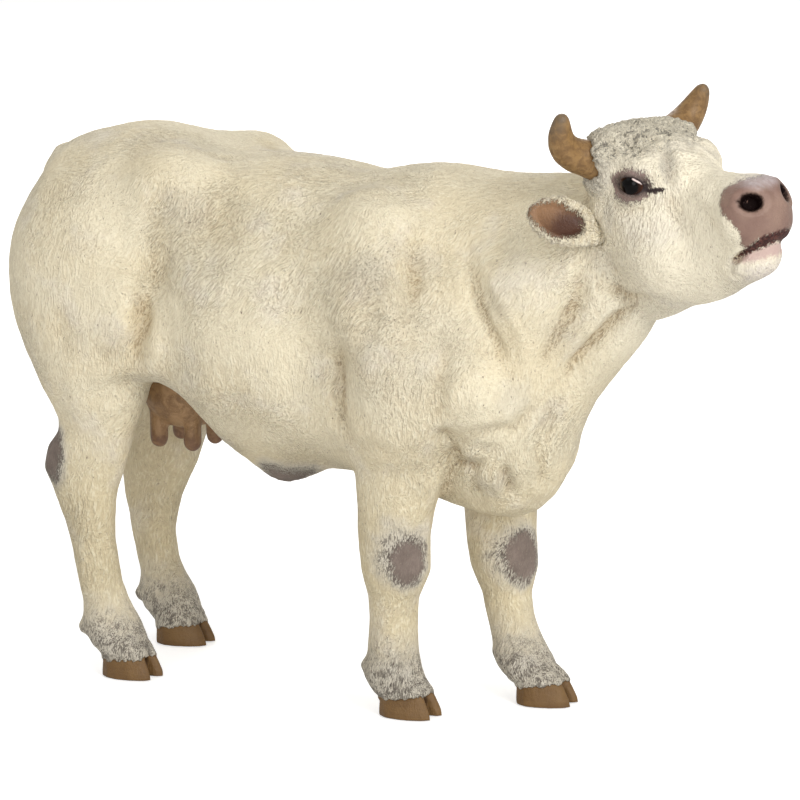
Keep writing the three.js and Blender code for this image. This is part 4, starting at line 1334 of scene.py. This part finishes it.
def makeUdder():
    made, tree, shader = newMaterial("udderSkin")
    place = addNode(tree, "TexCoord").outputs["Object"]
    folds = speckle(tree, place, 420.0, 4.0, 0.6, 0.8)
    fine = speckle(tree, place, 3200.0, 3.0, 0.65)
    tone = blend(tree, fade(tree, folds, 0.35, 0.65), udderSettings["skin"], udderSettings["shade"])
    tone = blend(tree, fade(tree, fine, 0.5, 0.75, 0.0, 0.4), tone, udderSettings["light"])
    teat = times(tree, mark(tree, "teat"), fade(tree, folds, 0.3, 0.6, 0.55, 1.0))
    tone = blend(tree, teat, tone, udderSettings["teatEnd"])
    tree.links.new(tone, shader.inputs["Base Color"])
    tree.links.new(fade(tree, fine, 0.3, 0.7, 0.5, 0.66), shader.inputs["Roughness"])
    relief = plus(tree, times(tree, folds, 0.8), times(tree, fine, 0.4))
    addBump(tree, shader, relief, udderSettings["bumpDepth"])
    udder, points, _ = smoothCopy("udder", udderSettings)
    normals = readNormals(udder.data)
    points = points + normals * (0.12 * grain(points, 1.6 * mm, (1, 1, 1.8), 51) * mm)[:, None]
    writePoints(udder.data, points)
    height = (points[:, 2] - points[:, 2].min()) / mm
    paint(udder.data, "teat", 0.85 * ease(4.2, 1.0, height))
    finishPiece(udder, ["udder"], made)


makeUdder()


# Tail
tailSettings = {
    "voxel": 0.25 * mm,
    "rounds": 22,
    "tuftFrom": 52.0,  # heights in mm
    "rootFrom": 76.0,
}


def makeTail():
    tail, points, edges = smoothCopy("tail", tailSettings)
    normals = relax(readNormals(tail.data), edges, 2)
    height = points[:, 2] / mm
    tuft = ease(tailSettings["tuftFrom"] + 3, tailSettings["tuftFrom"] - 3, height)
    strands = grain(points, 0.75 * mm, (1, 1, 7), 61)
    clumps = grain(points, 0.9 * mm, (1, 1, 2.4), 21)
    root = ease(tailSettings["rootFrom"], tailSettings["rootFrom"] + 5, height)
    points = points + normals * ((0.3 * strands * tuft + 0.06 * clumps + 0.25 * root) * mm)[:, None]
    writePoints(tail.data, points)
    paintCoat(tail, np.zeros(len(points)))
    clearFace(tail.data)
    paint(tail.data, "wash", 0.5 * tuft)
    finishPiece(tail, ["tail"], coat)


makeTail()
print("udder and tail are done")


# Floor and light
stageSettings = {
    # place, size and power
    "lamps": {
        "keyLamp": ((-0.4, -0.52, 0.62), 0.45, 0.35),
        "fillLamp": ((0.75, -0.35, 0.5), 0.5, 4.8),
        "lowLamp": ((0.3, -0.75, 0.24), 0.4, 1.4),
        "backLamp": ((-0.45, 0.7, 0.4), 0.5, 2.2),
    },
    "lampAim": Vector((0, 0, 0.05)),
    "sky": 0.58,
    "skyTint": (1, 0.985, 0.95, 1),
    "floorSize": 3,
    "floorTint": (0.8, 0.8, 0.8, 1),
    "floorRoughness": 0.9,
    "floorGlow": 0.5,  # only as the camera sees it
}


def makeStage():
    bm = bmesh.new()
    bmesh.ops.create_grid(bm, x_segments=1, y_segments=1, size=stageSettings["floorSize"])
    floor = meshObject("floor", bm)
    made, tree, shader = newMaterial("paleFloor")
    shader.inputs["Base Color"].default_value = stageSettings["floorTint"]
    shader.inputs["Roughness"].default_value = stageSettings["floorRoughness"]
    shader.inputs["Emission Color"].default_value = (1, 1, 1, 1)
    seen = addNode(tree, "LightPath").outputs["Is Camera Ray"]
    tree.links.new(times(tree, seen, stageSettings["floorGlow"]), shader.inputs["Emission Strength"])
    floor.data.materials.append(made)
    world = bpy.data.worlds.new("studio")
    world.use_nodes = True
    bpy.context.scene.world = world
    tree = world.node_tree
    sky = tree.nodes["Background"]
    sky.inputs["Color"].default_value = stageSettings["skyTint"]
    sky.inputs["Strength"].default_value = stageSettings["sky"]
    white = addNode(tree, "Background", None, {"Color": (1, 1, 1, 1), "Strength": 1.0})
    seen = addNode(tree, "LightPath").outputs["Is Camera Ray"]
    mix = addNode(tree, "MixShader", None, {0: seen, 1: sky.outputs[0], 2: white.outputs[0]})
    tree.links.new(mix.outputs[0], tree.nodes["World Output"].inputs["Surface"])


def makeLamp(name, place, size, power):
    data = bpy.data.lights.new(name, "AREA")
    data.shape = "DISK"
    data.size = size
    data.energy = power
    lamp = bpy.data.objects.new(name, data)
    bpy.context.scene.collection.objects.link(lamp)
    lamp.location = place
    lamp.rotation_euler = (stageSettings["lampAim"] - Vector(place)).to_track_quat("-Z", "Y").to_euler()


makeStage()
for name, (place, size, power) in stageSettings["lamps"].items():
    makeLamp(name, place, size, power)
bpy.context.scene.view_settings.view_transform = "Standard"
print("stage is set")
